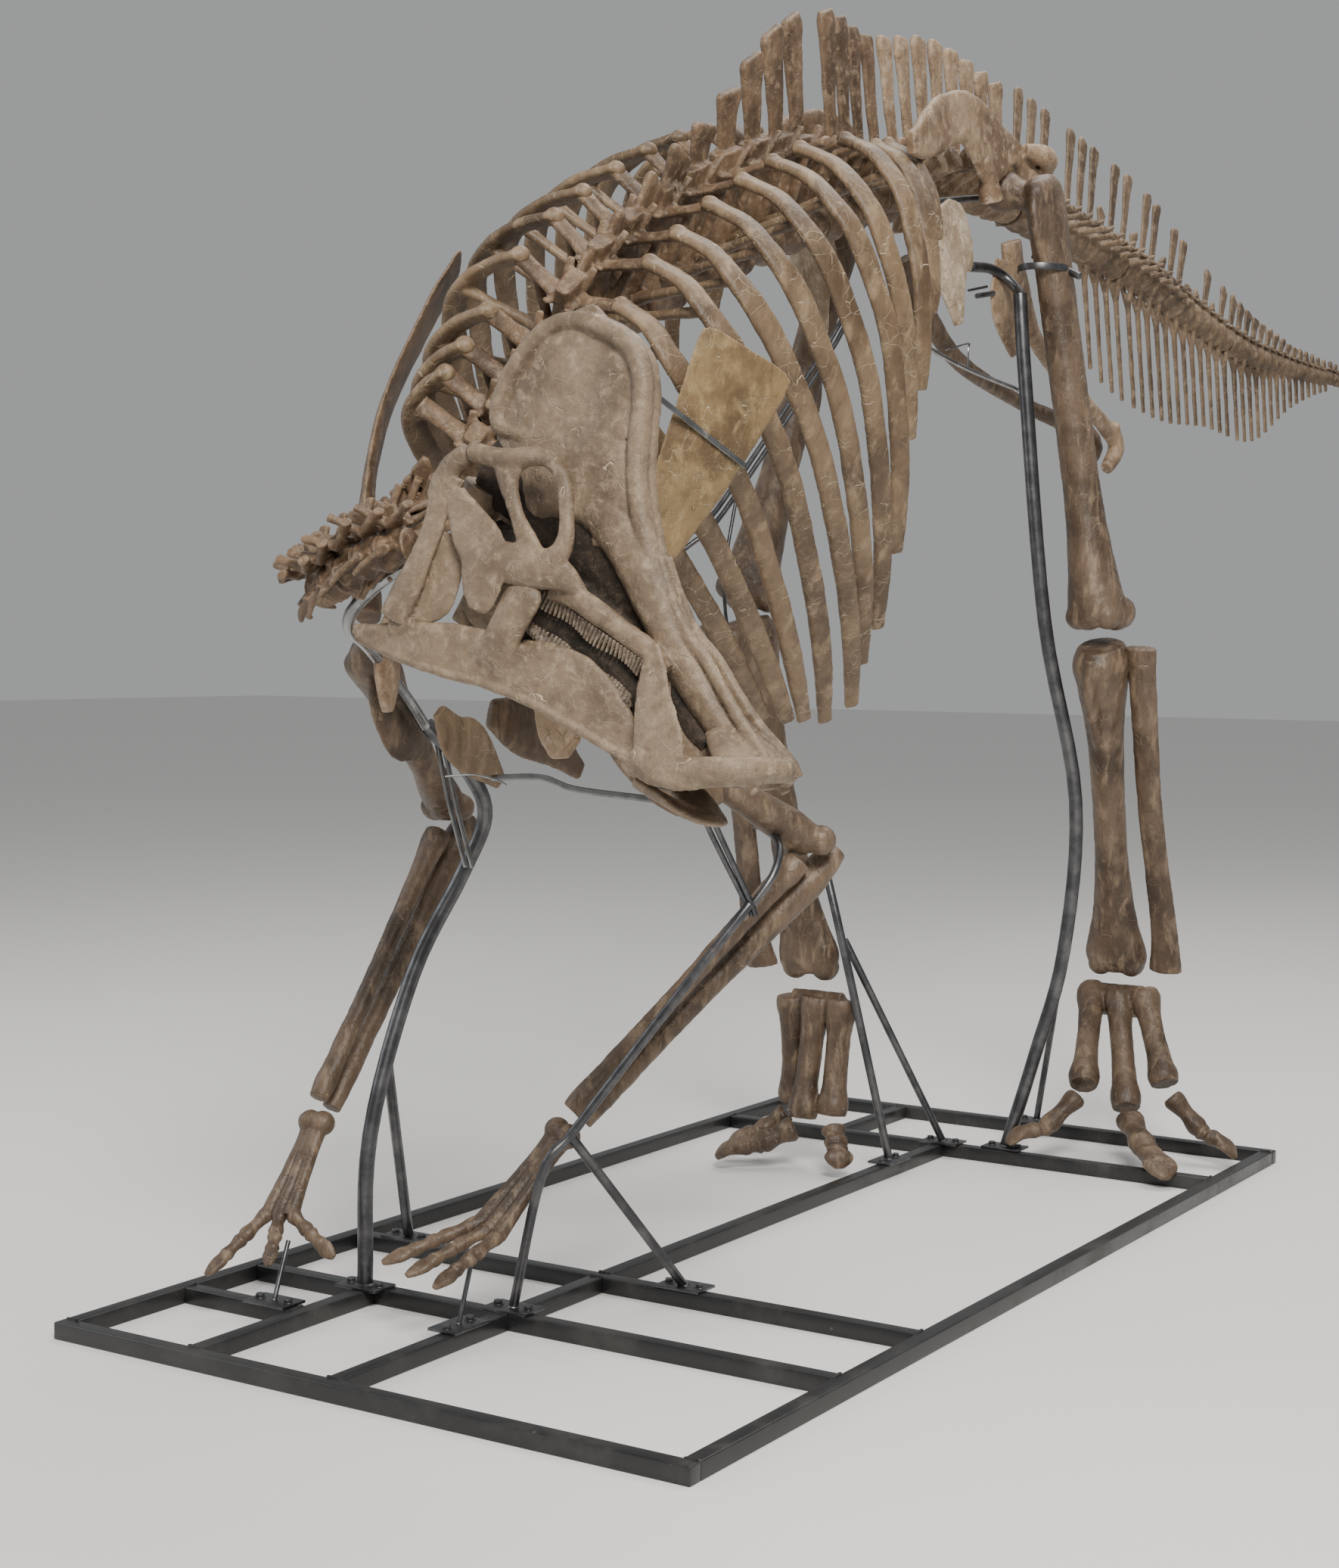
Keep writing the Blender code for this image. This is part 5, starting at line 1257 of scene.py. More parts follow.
@dataclass
class HindLimb:
    """Thigh, shank and three-toed foot of one side."""

    shop: Workshop
    side: Side
    hip: Point
    top: Point
    knee: Point
    ankle: Point
    splay: Point
    toes: dict[str, Path]

    def thigh(self) -> None:
        """Builds the femur: trochanter, ball, shaft, rear flange and condyles."""
        top, knee, ball = (vec(*p) for p in (self.top, self.knee, self.hip))
        down = unit(knee - top)
        front = facing_front(unit(np.cross(X, down)))
        rear = -front
        stations = ((0, 0.035, 0.028), (0.03, 0.075, 0.042), (0.12, 0.078, 0.046), (0.25, 0.06, 0.046),
                    (0.5, 0.053, 0.048), (0.72, 0.051, 0.05), (0.88, 0.07, 0.064), (0.96, 0.078, 0.076),
                    (1.0, 0.06, 0.062))
        shells = [shaft(top, knee - down * 0.02, stations, front, sides=24),
                  loft([lerp(top, knee, 0.06), lerp(lerp(top, knee, 0.05), ball, 0.5), ball],
                       [0.055, 0.044, 0.05], [0.045, 0.038, 0.045], front),
                  knob(ball, X * self.side, 0.055, front)]
        flange = ridge(top, knee, rear, ((0.4, 0.03), (0.46, 0.07), (0.52, 0.075), (0.6, 0.03)))
        shells.append(loft(flange, [0.03, 0.035, 0.035, 0.03], [0.013, 0.012, 0.012, 0.013], rear))
        crest = ridge(top, knee, front, ((0.02, 0.05), (0.08, 0.07), (0.16, 0.06), (0.22, 0.04)))
        shells.append(loft(crest, [0.02, 0.026, 0.024, 0.016], [0.016, 0.018, 0.016, 0.012], front))
        for offset in (-0.04, 0.04):
            shells.append(knob(knee - down * 0.055 + X * offset + rear * 0.035, front, 0.048, X, 1.35))
            shells.append(knob(knee - down * 0.05 + X * offset + front * 0.03, front, 0.036, X, 1.1))
        self.shop.sided("femur", self.side, shells, LIMB_BONE, Relief(0.0048))

    def shank(self) -> None:
        """Builds the tibia with its crest, and the fibula beside it."""
        knee, ankle = vec(*self.knee), vec(*self.ankle)
        down = unit(ankle - knee)
        front = facing_front(unit(np.cross(X, down)))
        start, end = knee + down * 0.03, ankle - down * 0.03
        stations = ((0, 0.06, 0.068), (0.05, 0.075, 0.093), (0.14, 0.062, 0.078), (0.3, 0.047, 0.053),
                    (0.6, 0.044, 0.043), (0.82, 0.06, 0.044), (0.95, 0.088, 0.05), (1.0, 0.075, 0.043))
        shells = [shaft(start, end, stations, X, sides=24)]
        crest = ridge(start, end, front, ((0.02, 0.07), (0.1, 0.085), (0.2, 0.065), (0.3, 0.035)))
        shells.append(loft(crest, [0.02, 0.03, 0.03, 0.02], [0.018, 0.018, 0.018, 0.014], front))
        shells.append(loft([end - down * 0.05 - X * 0.07, end - down * 0.05 + X * 0.07], [0.04, 0.045],
                           [0.035, 0.04], down))
        for offset in (-0.045, 0.045):
            shells.append(knob(end + X * offset - down * 0.012, front, 0.036, X, 1.2))
        self.shop.sided("tibia", self.side, shells, LIMB_BONE, Relief(0.0048))
        outer = X * self.side * 0.108 - front * 0.01
        low = X * self.side * 0.146 + front * 0.01
        middle = lerp(start, end, 0.5) + X * self.side * 0.118
        points = [start + outer + down * 0.01, lerp(start, end, 0.12) + outer, middle,
                  lerp(start, end, 0.85) + low, end + low - down * 0.005]
        thick = (0.019, 0.017, 0.017, 0.019, 0.026)
        shells = [loft(points, (0.044, 0.039, 0.035, 0.038, 0.047), thick, X, steps=8)]
        self.shop.sided("fibula", self.side, shells, LIMB_BONE, Relief(0.004))

    def foot(self) -> None:
        """Builds the metatarsals as one piece and each toe with its joints and hoof."""
        word = self.side.word
        knee, ankle = vec(*self.knee), vec(*self.ankle)
        down = unit(ankle - knee)
        across = unit(np.cross(Z, unit(self.splay)))
        head = ankle + down * 0.045
        shells = [loft([head - X * 0.075 + down * 0.03, head + X * 0.075 + down * 0.03], [0.05, 0.05],
                       [0.03, 0.03], down)]
        for joints, shift in zip(self.toes.values(), (-self.side, 0, self.side)):
            base = np.asarray(joints[0], float)
            upper = head + X * shift * 0.075
            line = unit(base - upper)
            stations = ((0, 0.04, 0.044), (0.08, 0.044, 0.046), (0.25, 0.034, 0.036), (0.5, 0.031, 0.032),
                        (0.75, 0.034, 0.034), (0.9, 0.043, 0.041), (1.0, 0.038, 0.037))
            shells.append(shaft(upper, base - line * 0.012, stations, across))
        self.shop.bone(f"metatarsal_bones_{word}", shells, LIMB_BONE, (f"metatarsus_{word}",), Relief(0.0042))
        for toe, joints in self.toes.items():
            self.shop.bone(f"toe_bones_{toe}_{word}", self.toe(toe, joints), LIMB_BONE,
                           (f"toe_{toe}_{word}",), Relief(0.0026, 3, 0.003, 0.0012))

    def toe(self, name: str, joints: Path) -> list[Shell]:
        """Builds one toe of three bones.

        Args:
            name: its Roman number.
            joints: its base, middle and tip.

        Returns:
            Its shells.
        """
        base, mid, tip = (vec(*p) for p in joints)
        line = unit(mid - base)
        start = base + line * 0.022 - Z * 0.005
        flat = unit(np.cross(Z, tip - base))
        size = 1.0 if name == "III" else 0.86
        path = [start, lerp(start, mid, 0.5), mid, lerp(mid, tip, 0.35), lerp(mid, tip, 0.75)]
        path.append(tip - Z * 0.022)
        path = [vec(p[0], p[1], max(p[2], 0.03)) for p in path]
        shells = []
        for first, last, wide, high in ((0.0, 1.9, 0.04, 0.034), (1.9, 2.9, 0.037, 0.028)):
            places = spline(range(6), path, first + (last - first) * vec(0.0, 0.12, 0.5, 0.86, 1.0))
            shells.append(loft(places, vec(0.82, 1.0, 0.74, 0.96, 0.78) * wide * size,
                               vec(0.82, 1.0, 0.74, 0.92, 0.75) * high * size, flat, steps=3))
        hoof = spline(range(6), path, (2.9, 3.3, 3.9, 4.5, 5.0))
        shells.append(loft(hoof, vec(0.033, 0.032, 0.046, 0.038, 0.014) * size,
                           vec(0.026, 0.022, 0.017, 0.013, 0.008) * size, flat, steps=3, power=2.3))
        return shells

    def build(self) -> None:
        """Builds the whole limb."""
        self.thigh()
        self.shank()
        self.foot()


@dataclass
class ForeLimb:
    """Shoulder, arm and hand of one side."""

    shop: Workshop
    side: Side
    shoulder: Point
    elbow: Point
    wrist: Point
    palm: Point
    blade_top: Point
    blade_side: Point
    coracoid_at: Point
    blade_bow: float
    crest_reach: float
    fingers: Path

    def girdle(self) -> None:
        """Builds the shoulder blade and the coracoid."""
        shoulder, top = vec(*self.shoulder), vec(*self.blade_top)
        rise = unit(top - shoulder)
        out = unit(np.cross(self.blade_side, rise)) * self.side
        base = shoulder + rise * 0.06
        stations = ((0, 0.055, 0.028), (0.06, 0.072, 0.03), (0.14, 0.072, 0.023), (0.28, 0.05, 0.016),
                    (0.42, 0.062, 0.012), (0.6, 0.086, 0.0105), (0.85, 0.11, 0.01), (0.95, 0.116, 0.009),
                    (0.985, 0.112, 0.008), (1.0, 0.092, 0.007))
        shells = [shaft(base, top, stations, self.blade_side, bow=out * self.blade_bow, sides=28)]
        spur = lerp(base, top, 0.1)
        shells.append(loft([spur, spur + out * 0.028 - np.asarray(self.blade_side) * 0.03], [0.03, 0.014],
                           [0.02, 0.01], rise))
        finish = BLADE_BONE if self.side is Side.LEFT else SPINE_BONE
        self.shop.sided("scapula", self.side, shells, finish, Relief(0.0035, 5, 0.003, 0.001))
        at = vec(*self.coracoid_at)
        shells = [loft([at + Z * 0.09 + Y * 0.02, at + Z * 0.03, at - Z * 0.06, at - Z * 0.11],
                       [0.03, 0.062, 0.055, 0.02], [0.013, 0.022, 0.016, 0.011], -Y - X * self.side * 0.35,
                       dent=0.2)]
        self.shop.sided("coracoid", self.side, shells, HIP_BONE, Relief(0.0035))

    def upper_arm(self) -> None:
        """Builds the humerus with its long chest-muscle crest."""
        shoulder, elbow = vec(*self.shoulder), vec(*self.elbow)
        line = unit(elbow - shoulder)
        front = unit(np.cross(X, line))
        front = front if front[1] < 0 or front[2] < 0 else -front
        start, stop = shoulder + line * 0.035, elbow - line * 0.03
        stations = ((0, 0.045, 0.033), (0.07, 0.068, 0.043), (0.25, 0.05, 0.034), (0.5, 0.041, 0.033),
                    (0.7, 0.034, 0.034), (0.88, 0.048, 0.039), (1.0, 0.045, 0.034))
        shells = [shaft(start, stop, stations, X, sides=22)]
        crest = [lerp(start, stop, t) + front * r * self.crest_reach + X * 0.02
                 for t, r in ((0.06, 0.4), (0.2, 0.85), (0.42, 1.0), (0.56, 0.4))]
        shells.append(loft(crest, [0.035, 0.052, 0.055, 0.022], [0.014, 0.015, 0.017, 0.013], front,
                           sides=20))
        shells.append(knob(start + line * 0.012 - front * 0.01, X, 0.044, line, 1.1))
        for offset in (-0.035, 0.035):
            shells.append(knob(stop - line * 0.01 + X * offset, X, 0.033, line))
        self.shop.sided("humerus", self.side, shells, LIMB_BONE, Relief(0.004))

    def forearm(self) -> None:
        """Builds the ulna and, before it, the radius."""
        elbow, wrist = vec(*self.elbow), vec(*self.wrist)
        line = unit(wrist - elbow)
        front = facing_front(unit(np.cross(X, line)))
        back = elbow - front * 0.045
        stations = ((0, 0.022, 0.022), (0.05, 0.034, 0.029), (0.12, 0.04, 0.034), (0.2, 0.037, 0.033),
                    (0.55, 0.025, 0.022), (0.9, 0.024, 0.022), (1.0, 0.022, 0.02))
        shells = [shaft(back - line * 0.03, wrist - front * 0.026 - line * 0.012, stations, X)]
        self.shop.sided("ulna", self.side, shells, LIMB_BONE, Relief(0.0035))
        stations = ((0, 0.03, 0.026), (0.05, 0.032, 0.028), (0.14, 0.026, 0.022), (0.5, 0.0205, 0.0175),
                    (0.85, 0.023, 0.019), (0.94, 0.027, 0.022), (1.0, 0.022, 0.018))
        head = elbow + front * 0.026 + line * 0.052
        shells = [shaft(head, wrist + front * 0.024 - line * 0.012, stations, X)]
        self.shop.sided("radius", self.side, shells, LIMB_BONE, Relief(0.0032))

    def hand(self) -> None:
        """Builds the wrist block, three long palm bones and the fingers."""
        elbow, wrist, palm = (vec(*p) for p in (self.elbow, self.wrist, self.palm))
        front = facing_front(unit(np.cross(X, unit(wrist - elbow))))
        line = unit(palm - wrist)
        start = wrist + line * 0.012
        across = unit(np.cross(line, front))
        across = across if across @ X > 0 else -across
        shells = [knob(start + line * 0.022 + across * s, across, 0.027, line, 1.0) for s in (-0.016, 0.016)]
        for number, finger in enumerate(self.fingers):
            shift = across * (number - 1) * 0.03
            knuckle, tip = palm + shift, np.asarray(finger, float)
            shells.append(loft([start + line * 0.02 + shift * 0.6, lerp(start, knuckle, 0.25) + shift * 0.3,
                                lerp(start, knuckle, 0.6) + shift * 0.2, knuckle],
                               [0.018, 0.015, 0.013, 0.018], [0.018, 0.014, 0.013, 0.017], across, steps=4))
            finger_start = knuckle - line * 0.006
            marks = (0.0, 0.15, 0.5, 0.85, 1.0)
            for first, last, wide in ((0.0, 0.42, 0.018), (0.42, 0.72, 0.017)):
                places = [lerp(finger_start, tip, first + (last - first) * t) for t in marks]
                shells.append(loft(places, vec(0.75, 1.0, 0.72, 0.96, 0.72) * wide,
                                   vec(0.75, 0.9, 0.65, 0.85, 0.65) * wide, across, steps=3))
            shells.append(loft([lerp(finger_start, tip, t) for t in (0.7, 0.8, 0.92, 1.0)],
                               [0.014, 0.019, 0.014, 0.007], [0.011, 0.011, 0.008, 0.005], across, steps=3))
        self.shop.bone(f"hand_bones_{self.side.word}", shells, LIMB_BONE, (f"hand_{self.side.word}",),
                       Relief(0.0024, 3, 0.002, 0.001))

    def build(self) -> None:
        """Builds the whole limb."""
        self.girdle()
        self.upper_arm()
        self.forearm()
        self.hand()


@dataclass
class Breast:
    """The two sternal plates between the arms."""

    shop: Workshop
    right: Path = ((-0.22, 0.56, 1.255), (-0.22, 0.61, 1.2), (-0.22, 0.68, 1.17),
                                (-0.22, 0.77, 1.1))
    left: Path = ((-0.03, 0.48, 1.255), (-0.02, 0.56, 1.23), (-0.02, 0.66, 1.2),
                               (-0.01, 0.765, 1.13))

    def build(self) -> None:
        """Builds both plates."""
        across = vec(0, 0.5, 0.86)
        for side, path, widths, finish in ((Side.RIGHT, self.right, (0.02, 0.05, 0.06, 0.02), RIB_BONE),
                                           (Side.LEFT, self.left, (0.03, 0.06, 0.055, 0.02), LIMB_BONE)):
            plate = loft(path, widths, (0.011, 0.013, 0.013, 0.011), across, dent=0.2)
            self.shop.sided("sternal", side, [plate], finish, Relief(0.0032))


# ---- skull
MM = 1000.0
AHEAD = (1.0, 0.0, 0.0)
ABOVE = (0.0, 1.0, 0.0)
ACROSS = (0.0, 0.0, 1.0)


@dataclass(frozen=True)
class Run:
    """A bar of the head in millimetres, by places (ahead, above, right) of the head's middle."""

    places: Any
    widths: Any
    depths: Any
    wide: Any = AHEAD
    sides: int = 14
    steps: int = 4
    dent: float = 0.0


# Height, rear edge, front edge and half thickness of the helmet's plate.
CREST = ((-20, 55, 155, 22), (20, 35, 142, 32), (50, -20, 130, 38), (75, -110, 116, 40), (93, -200, 106, 38),
         (120, -226, 94, 37), (150, -228, 82, 36), (200, -219, 68, 34), (250, -205, 54, 31),
         (285, -182, 36, 27), (308, -152, 12, 21), (320, -110, -20, 12))
REAR_RIM = ((-150, 82), (-205, 80), (-227, 105), (-230, 150), (-222, 200), (-206, 245), (-180, 282),
            (-142, 305), (-95, 314), (-45, 312))
FRONT_RIM = ((-110, 312), (-45, 312), (2, 296), (32, 266), (52, 230), (66, 190), (82, 148), (104, 102),
             (132, 60), (164, 20), (204, -24), (250, -66), (310, -112))
# Place ahead, lower edge, upper edge and half width of the snout.
SNOUT = ((30, -10, 60, 26), (90, -30, 58, 34), (150, -60, 34, 38), (220, -105, -20, 40), (300, -160, -85, 38),
         (380, -205, -133, 37), (460, -238, -178, 45), (520, -252, -192, 68), (555, -250, -203, 64),
         (575, -238, -214, 40))
NOSE_RIDGE = ((200, 2, 12), (260, -52, 16), (310, -90, 18), (367, -112, 20), (430, -150, 22), (490, -181, 28),
              (546, -204, 38), (580, -226, 45))
BEAK_EDGE = ((335, -306, 100), (400, -312, 112), (460, -294, 112), (515, -266, 96), (558, -244, 50))
# How the arch turns on its way forward.
ARCH_TURN = (AHEAD, AHEAD, AHEAD, (0.6, 0.8, 0), ABOVE, ABOVE, ABOVE, ABOVE, (0.5, 0.85, 0), (0.8, 0.6, 0),
             AHEAD, AHEAD, AHEAD, AHEAD)

BRAIN_CASE = (
    # braincase
    Run(((-195, -30), (-205, -100)), (40, 38), (52, 45)),
    # palate
    Run(((280, -190), (380, -245), (500, -255)), (50, 36, 24), (26, 30, 50), ABOVE),
    # floor of the beak
    Run(((320, -240), (450, -270), (550, -250)), (50, 78, 78), (17, 15, 15), ACROSS),
)
EYE_BARS = (
    # arch from the jaw hinge over both openings and down before the eye
    Run(((-221, -75, 88), (-222, -40, 90), (-217, -5, 90), (-191, 27, 86), (-151, 36, 83), (-110, 46, 83),
        (-79, 67, 81), (-40, 78, 80), (-2, 66, 82), (24, 40, 85), (43, 10, 88), (58, -20, 90), (63, -50, 92),
        (50, -82, 94)), (26, 24, 21, 19, 18, 21, 18, 15, 15, 15, 14, 15, 19, 27),
        (18, 18, 20, 22, 22, 22, 20, 18, 16, 14, 12, 12, 13, 14), ARCH_TURN, sides=18),
    # jaw hinge
    Run(((-219, -30, 88), (-210, -75, 95), (-203, -125, 100), (-201, -182, 104), (-203, -236, 106),
        (-207, -300, 106)), (34, 27, 23, 24, 30, 30), (18, 13, 11, 12, 16, 22), dent=0.2, sides=18),
    # bar behind the eye
    Run(((-112, 46, 86), (-93, 12, 90), (-68, -14, 92), (-40, -38, 95), (-6, -64, 96), (18, -90, 98)),
        (34, 21, 14, 14.5, 22, 34), (17, 13, 11, 11, 12, 13), sides=18),
    # plate below the rear opening
    Run(((-186, -44, 95), (-165, -64, 98), (-128, -88, 101), (-78, -116, 104), (-58, -155, 107),
        (-48, -190, 108), (-46, -212, 107)), (16, 30, 42, 50, 46, 36, 20), (9, 11, 12, 12, 11, 9, 6),
        (0.8, 0.45, 0), dent=0.25, sides=18),
    # cheek
    Run(((-75, -125, 104), (-30, -112, 102), (18, -100, 100), (58, -90, 95), (92, -92, 84), (122, -104, 66)),
        (32, 36, 37, 34, 24, 9), (11, 13, 14, 13, 12, 8), ABOVE, dent=0.15, sides=18),
    # edge above the teeth
    Run(((60, -122, 72), (115, -116, 66), (170, -122, 60), (220, -130, 55), (274, -138, 50), (320, -156, 45)),
        (18, 20, 21, 20, 20, 16), (12, 14, 15, 15, 14, 12), ABOVE, sides=18),
    # lip
    Run(((282, -124, 54), (305, -160, 64), (335, -200, 80), (366, -232, 92), (395, -265, 100),
        (420, -292, 102)), (12, 26, 36, 44, 50, 44), (9, 8, 7, 8, 11, 14), (0.85, 0.5, 0), dent=0.25,
        sides=18),
    # beak
    Run(((355, -300, 98), (400, -300, 106), (455, -280, 106), (508, -252, 96), (550, -229, 64),
        (572, -218, 0)), (22, 26, 27, 26, 23, 19), (18, 18, 20, 21, 19, 14), ABOVE, sides=18),
    # strut inside the beak
    Run(((455, -205, 30), (490, -222, 55), (535, -236, 78)), (30, 30, 30), (18, 16, 18), sides=18),
    # inner plate at the hinge
    Run(((-180, -120, 80), (-165, -180, 82), (-165, -235, 84), (-185, -280, 90)), (30, 45, 52, 30),
        (9, 9, 9, 10), sides=18),
)
# Walls behind the skull's openings, drawn near-black as painted shade.
INNER_WALLS = (
    # side wall of the snout
    Run(((0, -195, 48), (100, -205, 48), (200, -215, 44), (300, -240, 38)), (50, 56, 52, 32), 7, ABOVE),
)
INNER_PARTS = (
    # partition between the eyes
    Run(((-205, 0), (-120, 0), (-40, -10), (60, -20), (160, -70), (270, -130)), (60, 66, 72, 78, 60, 40),
        (36, 26, 16, 13, 13, 14), ABOVE),
    # roof of the palate
    Run(((-150, -100), (-20, -120), (100, -140), (260, -160)), (30, 34, 40, 34), (30, 34, 36, 30), ABOVE),
    # partition of the nose
    Run(((290, -170), (360, -215), (440, -245)), (40, 40, 26), (18, 26, 40), ABOVE),
)
JAW_SIDE = (
    # jaw bone
    Run(((-288, -356, 95), (-240, -348, 96), (-190, -335, 96), (-130, -318, 94), (-65, -298, 91),
        (0, -285, 87), (70, -272, 82), (150, -262, 74), (220, -270, 66), (290, -285, 57), (352, -305, 48)),
        (12, 22, 36, 44, 50, 50, 48, 54, 50, 36, 18), (13, 17, 18, 18, 17, 15, 15, 16, 16, 15, 14), ABOVE,
        sides=22, dent=0.3),
    # wall that holds the teeth
    Run(((50, -250, 72), (110, -238, 72), (180, -236, 68), (250, -254, 62), (310, -280, 54)),
        (28, 36, 40, 34, 20), (12, 13, 13, 12, 11), ABOVE, sides=18, dent=0.2),
    # lower edge
    Run(((-275, -366, 97), (-150, -354, 98), (-65, -340, 94), (15, -322, 90), (114, -312, 83),
        (215, -313, 73), (300, -316, 60), (354, -316, 52)), 10, 12, ABOVE),
    # coronoid arm
    Run(((0, -305, 82), (12, -280, 90), (20, -245, 96), (22, -208, 99), (26, -172, 98), (28, -146, 95),
        (26, -124, 89)), (52, 44, 37, 36, 39, 37, 18), (10, 15, 18, 18, 16, 13, 9), (0.9, 0.3, 0), sides=20),
    # lump at the hinge
    Run(((-205, -318, 99), (-165, -290, 101)), (22, 12), (18, 12)),
)
JAW_FRONT = (
    # chin
    Run(((340, -325, -70), (360, -335, 0), (340, -325, 70)), (30, 45, 30), (13, 15, 13)),
    # scoop
    Run(((360, -343, -70), (430, -352, -40), (460, -352, 0), (430, -352, 40), (360, -343, 70)),
        (30, 40, 50, 40, 30), (10, 11, 12, 11, 10)),
)


@dataclass
class Skull:
    """Crested skull and lower jaw, in axes of its own from the middle of the head at eye level."""

    shop: Workshop
    middle: Point = (0.403, 0.15, 1.619)
    ahead: Point = (0.912, -0.01, -0.41)
    above: Point = (0.41, 0.045, 0.911)
    right: Point = (0.01, -0.999, 0.045)

    @property
    def axes(self) -> Array:
        """The head's three directions as rows."""
        return np.array((self.ahead, self.above, self.right))

    def at(self, s: float, u: float, r: float = 0.0) -> Array:
        """A point by its millimetres ahead of, above and to the right of the head's middle."""
        return vec(*self.middle) + vec(s, u, r) / MM @ self.axes

    def bar(self, run: Run, mirror: int = 1) -> Shell:
        """Builds a bar of bone.

        Args:
            run: the bar.
            mirror: -1 for the left side's copy.

        Returns:
            The closed shell.
        """
        places = [self.at(p[0], p[1], (p[2] if len(p) > 2 else 0.0) * mirror) for p in run.places]
        widths, depths = np.array(run.widths) / MM, np.array(run.depths) / MM
        wide = np.array(run.wide, float) @ self.axes
        return loft(places, widths, depths, wide, run.sides, run.steps, dent=run.dent)

    def bars(self, runs: Iterable[Run], mirror: int = 1) -> list[Shell]:
        """Builds several bars of one side."""
        return [self.bar(run, mirror) for run in runs]

    def dome(self) -> list[Shell]:
        """Builds the helmet crest with its rims and hollowed sides."""
        points = [self.at((rear + front) / 2, height) for height, rear, front, _ in CREST]
        half = [(front - rear) / 2 / MM for _, rear, front, _ in CREST]
        deep = [thick / MM for *_, thick in CREST]
        shells = [loft(points, half, deep, self.ahead, sides=40, steps=5, dent=0.42)]
        for m in (-1, 1):
            for rim, thick, lift in ((REAR_RIM, 16.5, 13), (FRONT_RIM, 19.5, 12)):
                fade = np.interp(np.linspace(0, 1, len(rim)), (0, 0.5, 1), (0.9, 1.1, 1.0))
                places = [(s, u, lift * f) for (s, u), f in zip(rim, fade)]
                shells.append(self.bar(Run(places, thick, thick * 0.95, ACROSS, 20, 5), m))
        return shells

    def snout_wall(self) -> list[Shell]:
        """Builds the snout with its narial ridge, the braincase and the palate."""
        points = [self.at(s, (low + high) / 2) for s, low, high, _ in SNOUT]
        shells = [loft(points, [(high - low) / 2 / MM for _, low, high, _ in SNOUT],
                       [half / MM for *_, half in SNOUT], self.above, sides=28, steps=5, power=2.2),
                  *self.bars(BRAIN_CASE)]
        lower = [(s - 12, u - 36, r + 8) for s, u, r in NOSE_RIDGE[1:]]
        for m in (-1, 1):
            shells += self.bars((Run(NOSE_RIDGE, 12, 10, ABOVE, steps=5), Run(lower, 9, 7, ABOVE)), m)
        return shells

    def hollow(self) -> list[Shell]:
        """Builds the walls deep inside, coloured near-black as painted shade in the recesses: the snout's
        side walls, the braincase and eye partition, the nose partition and the palate.
        """
        return self.bars(INNER_WALLS, -1) + self.bars(INNER_WALLS) + self.bars(INNER_PARTS)

    def beak_lumps(self, m: int) -> list[Shell]:
        """Builds the rough, knobbly edge of the beak on one side.

        Args:
            m: 1 for the right side and -1 for the left.

        Returns:
            Their shells.
        """
        shells = []
        for number in range(22):
            s, u, r = spline(range(5), BEAK_EDGE, number * 4 / 21)
            size = 0.0105 + wobble(number, 0.004)
            place = self.at(s, u + wobble(number + 3, 4), r * m)
            shells.append(knob(place, self.ahead, size, self.above, 1.2))
        return shells

    def teeth(self, mirror: int) -> list[Shell]:
        """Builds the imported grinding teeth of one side, upper and lower.

        Args:
            mirror: 1 for the right side and -1 for the left.

        Returns:
            Their shells.
        """
        shells: list[Shell] = []
        for number in range(30):
            t = number / 29
            s, r = 40 + 235 * t, 64 - 13 * t
            upper, lower = -146 - 26 * t, -196 - 30 * t
            lean = wobble(number, 3.5)
            deep = 22 + wobble(number + 2, 9)
            crown = ((s, upper + 16, r), (s + lean, upper - 12 + lean, r + 2))
            root = ((s + 12, lower - deep, r + 4), (s + 6, lower - deep * 0.5, r + 6),
                    (s + lean, lower + 8 + lean, r - 2))
            shells += self.bars((Run(crown, (4.2, 2.6), (9, 4), sides=7, steps=2),
                                 Run(root, (3.0, 4.8, 3.0), (6, 10, 5), sides=7, steps=2)), mirror)
        return shells

    def jaw(self) -> list[Shell]:
        """Builds the lower jaw: both rami, their coronoid arms and the scoop in front."""
        return self.bars(JAW_SIDE, -1) + self.bars(JAW_SIDE) + self.bars(JAW_FRONT)

    def build(self) -> None:
        """Builds the skull, the lower jaw and the teeth."""
        fine = Relief(0.0028, 3, 0.0045, 0.0018)
        shells = self.dome() + self.snout_wall()
        for mirror in (-1, 1):
            shells += self.bars(EYE_BARS, mirror) + self.beak_lumps(mirror)
        self.shop.bone("skull_bone", shells, SKULL_BONE, ("skull",), fine)
        # the inner walls are near-black, painted shade in the skull's recesses
        self.shop.bone("skull_hollow_painted_shade", self.hollow(), PAINTED_SHADE_BONE, (), Relief(0.004, 2, 0.006, 0.003))
        self.shop.bone("lower_jaw_bone", self.jaw(), SKULL_BONE, ("mandible",), fine)
        for mirror, word in ((1, "right"), (-1, "left")):
            small = Relief(0.0015, 1, 0.0006, 0.0004)
            self.shop.bone(f"teeth_{word}", self.teeth(mirror), TOOTH_BONE, (), small)


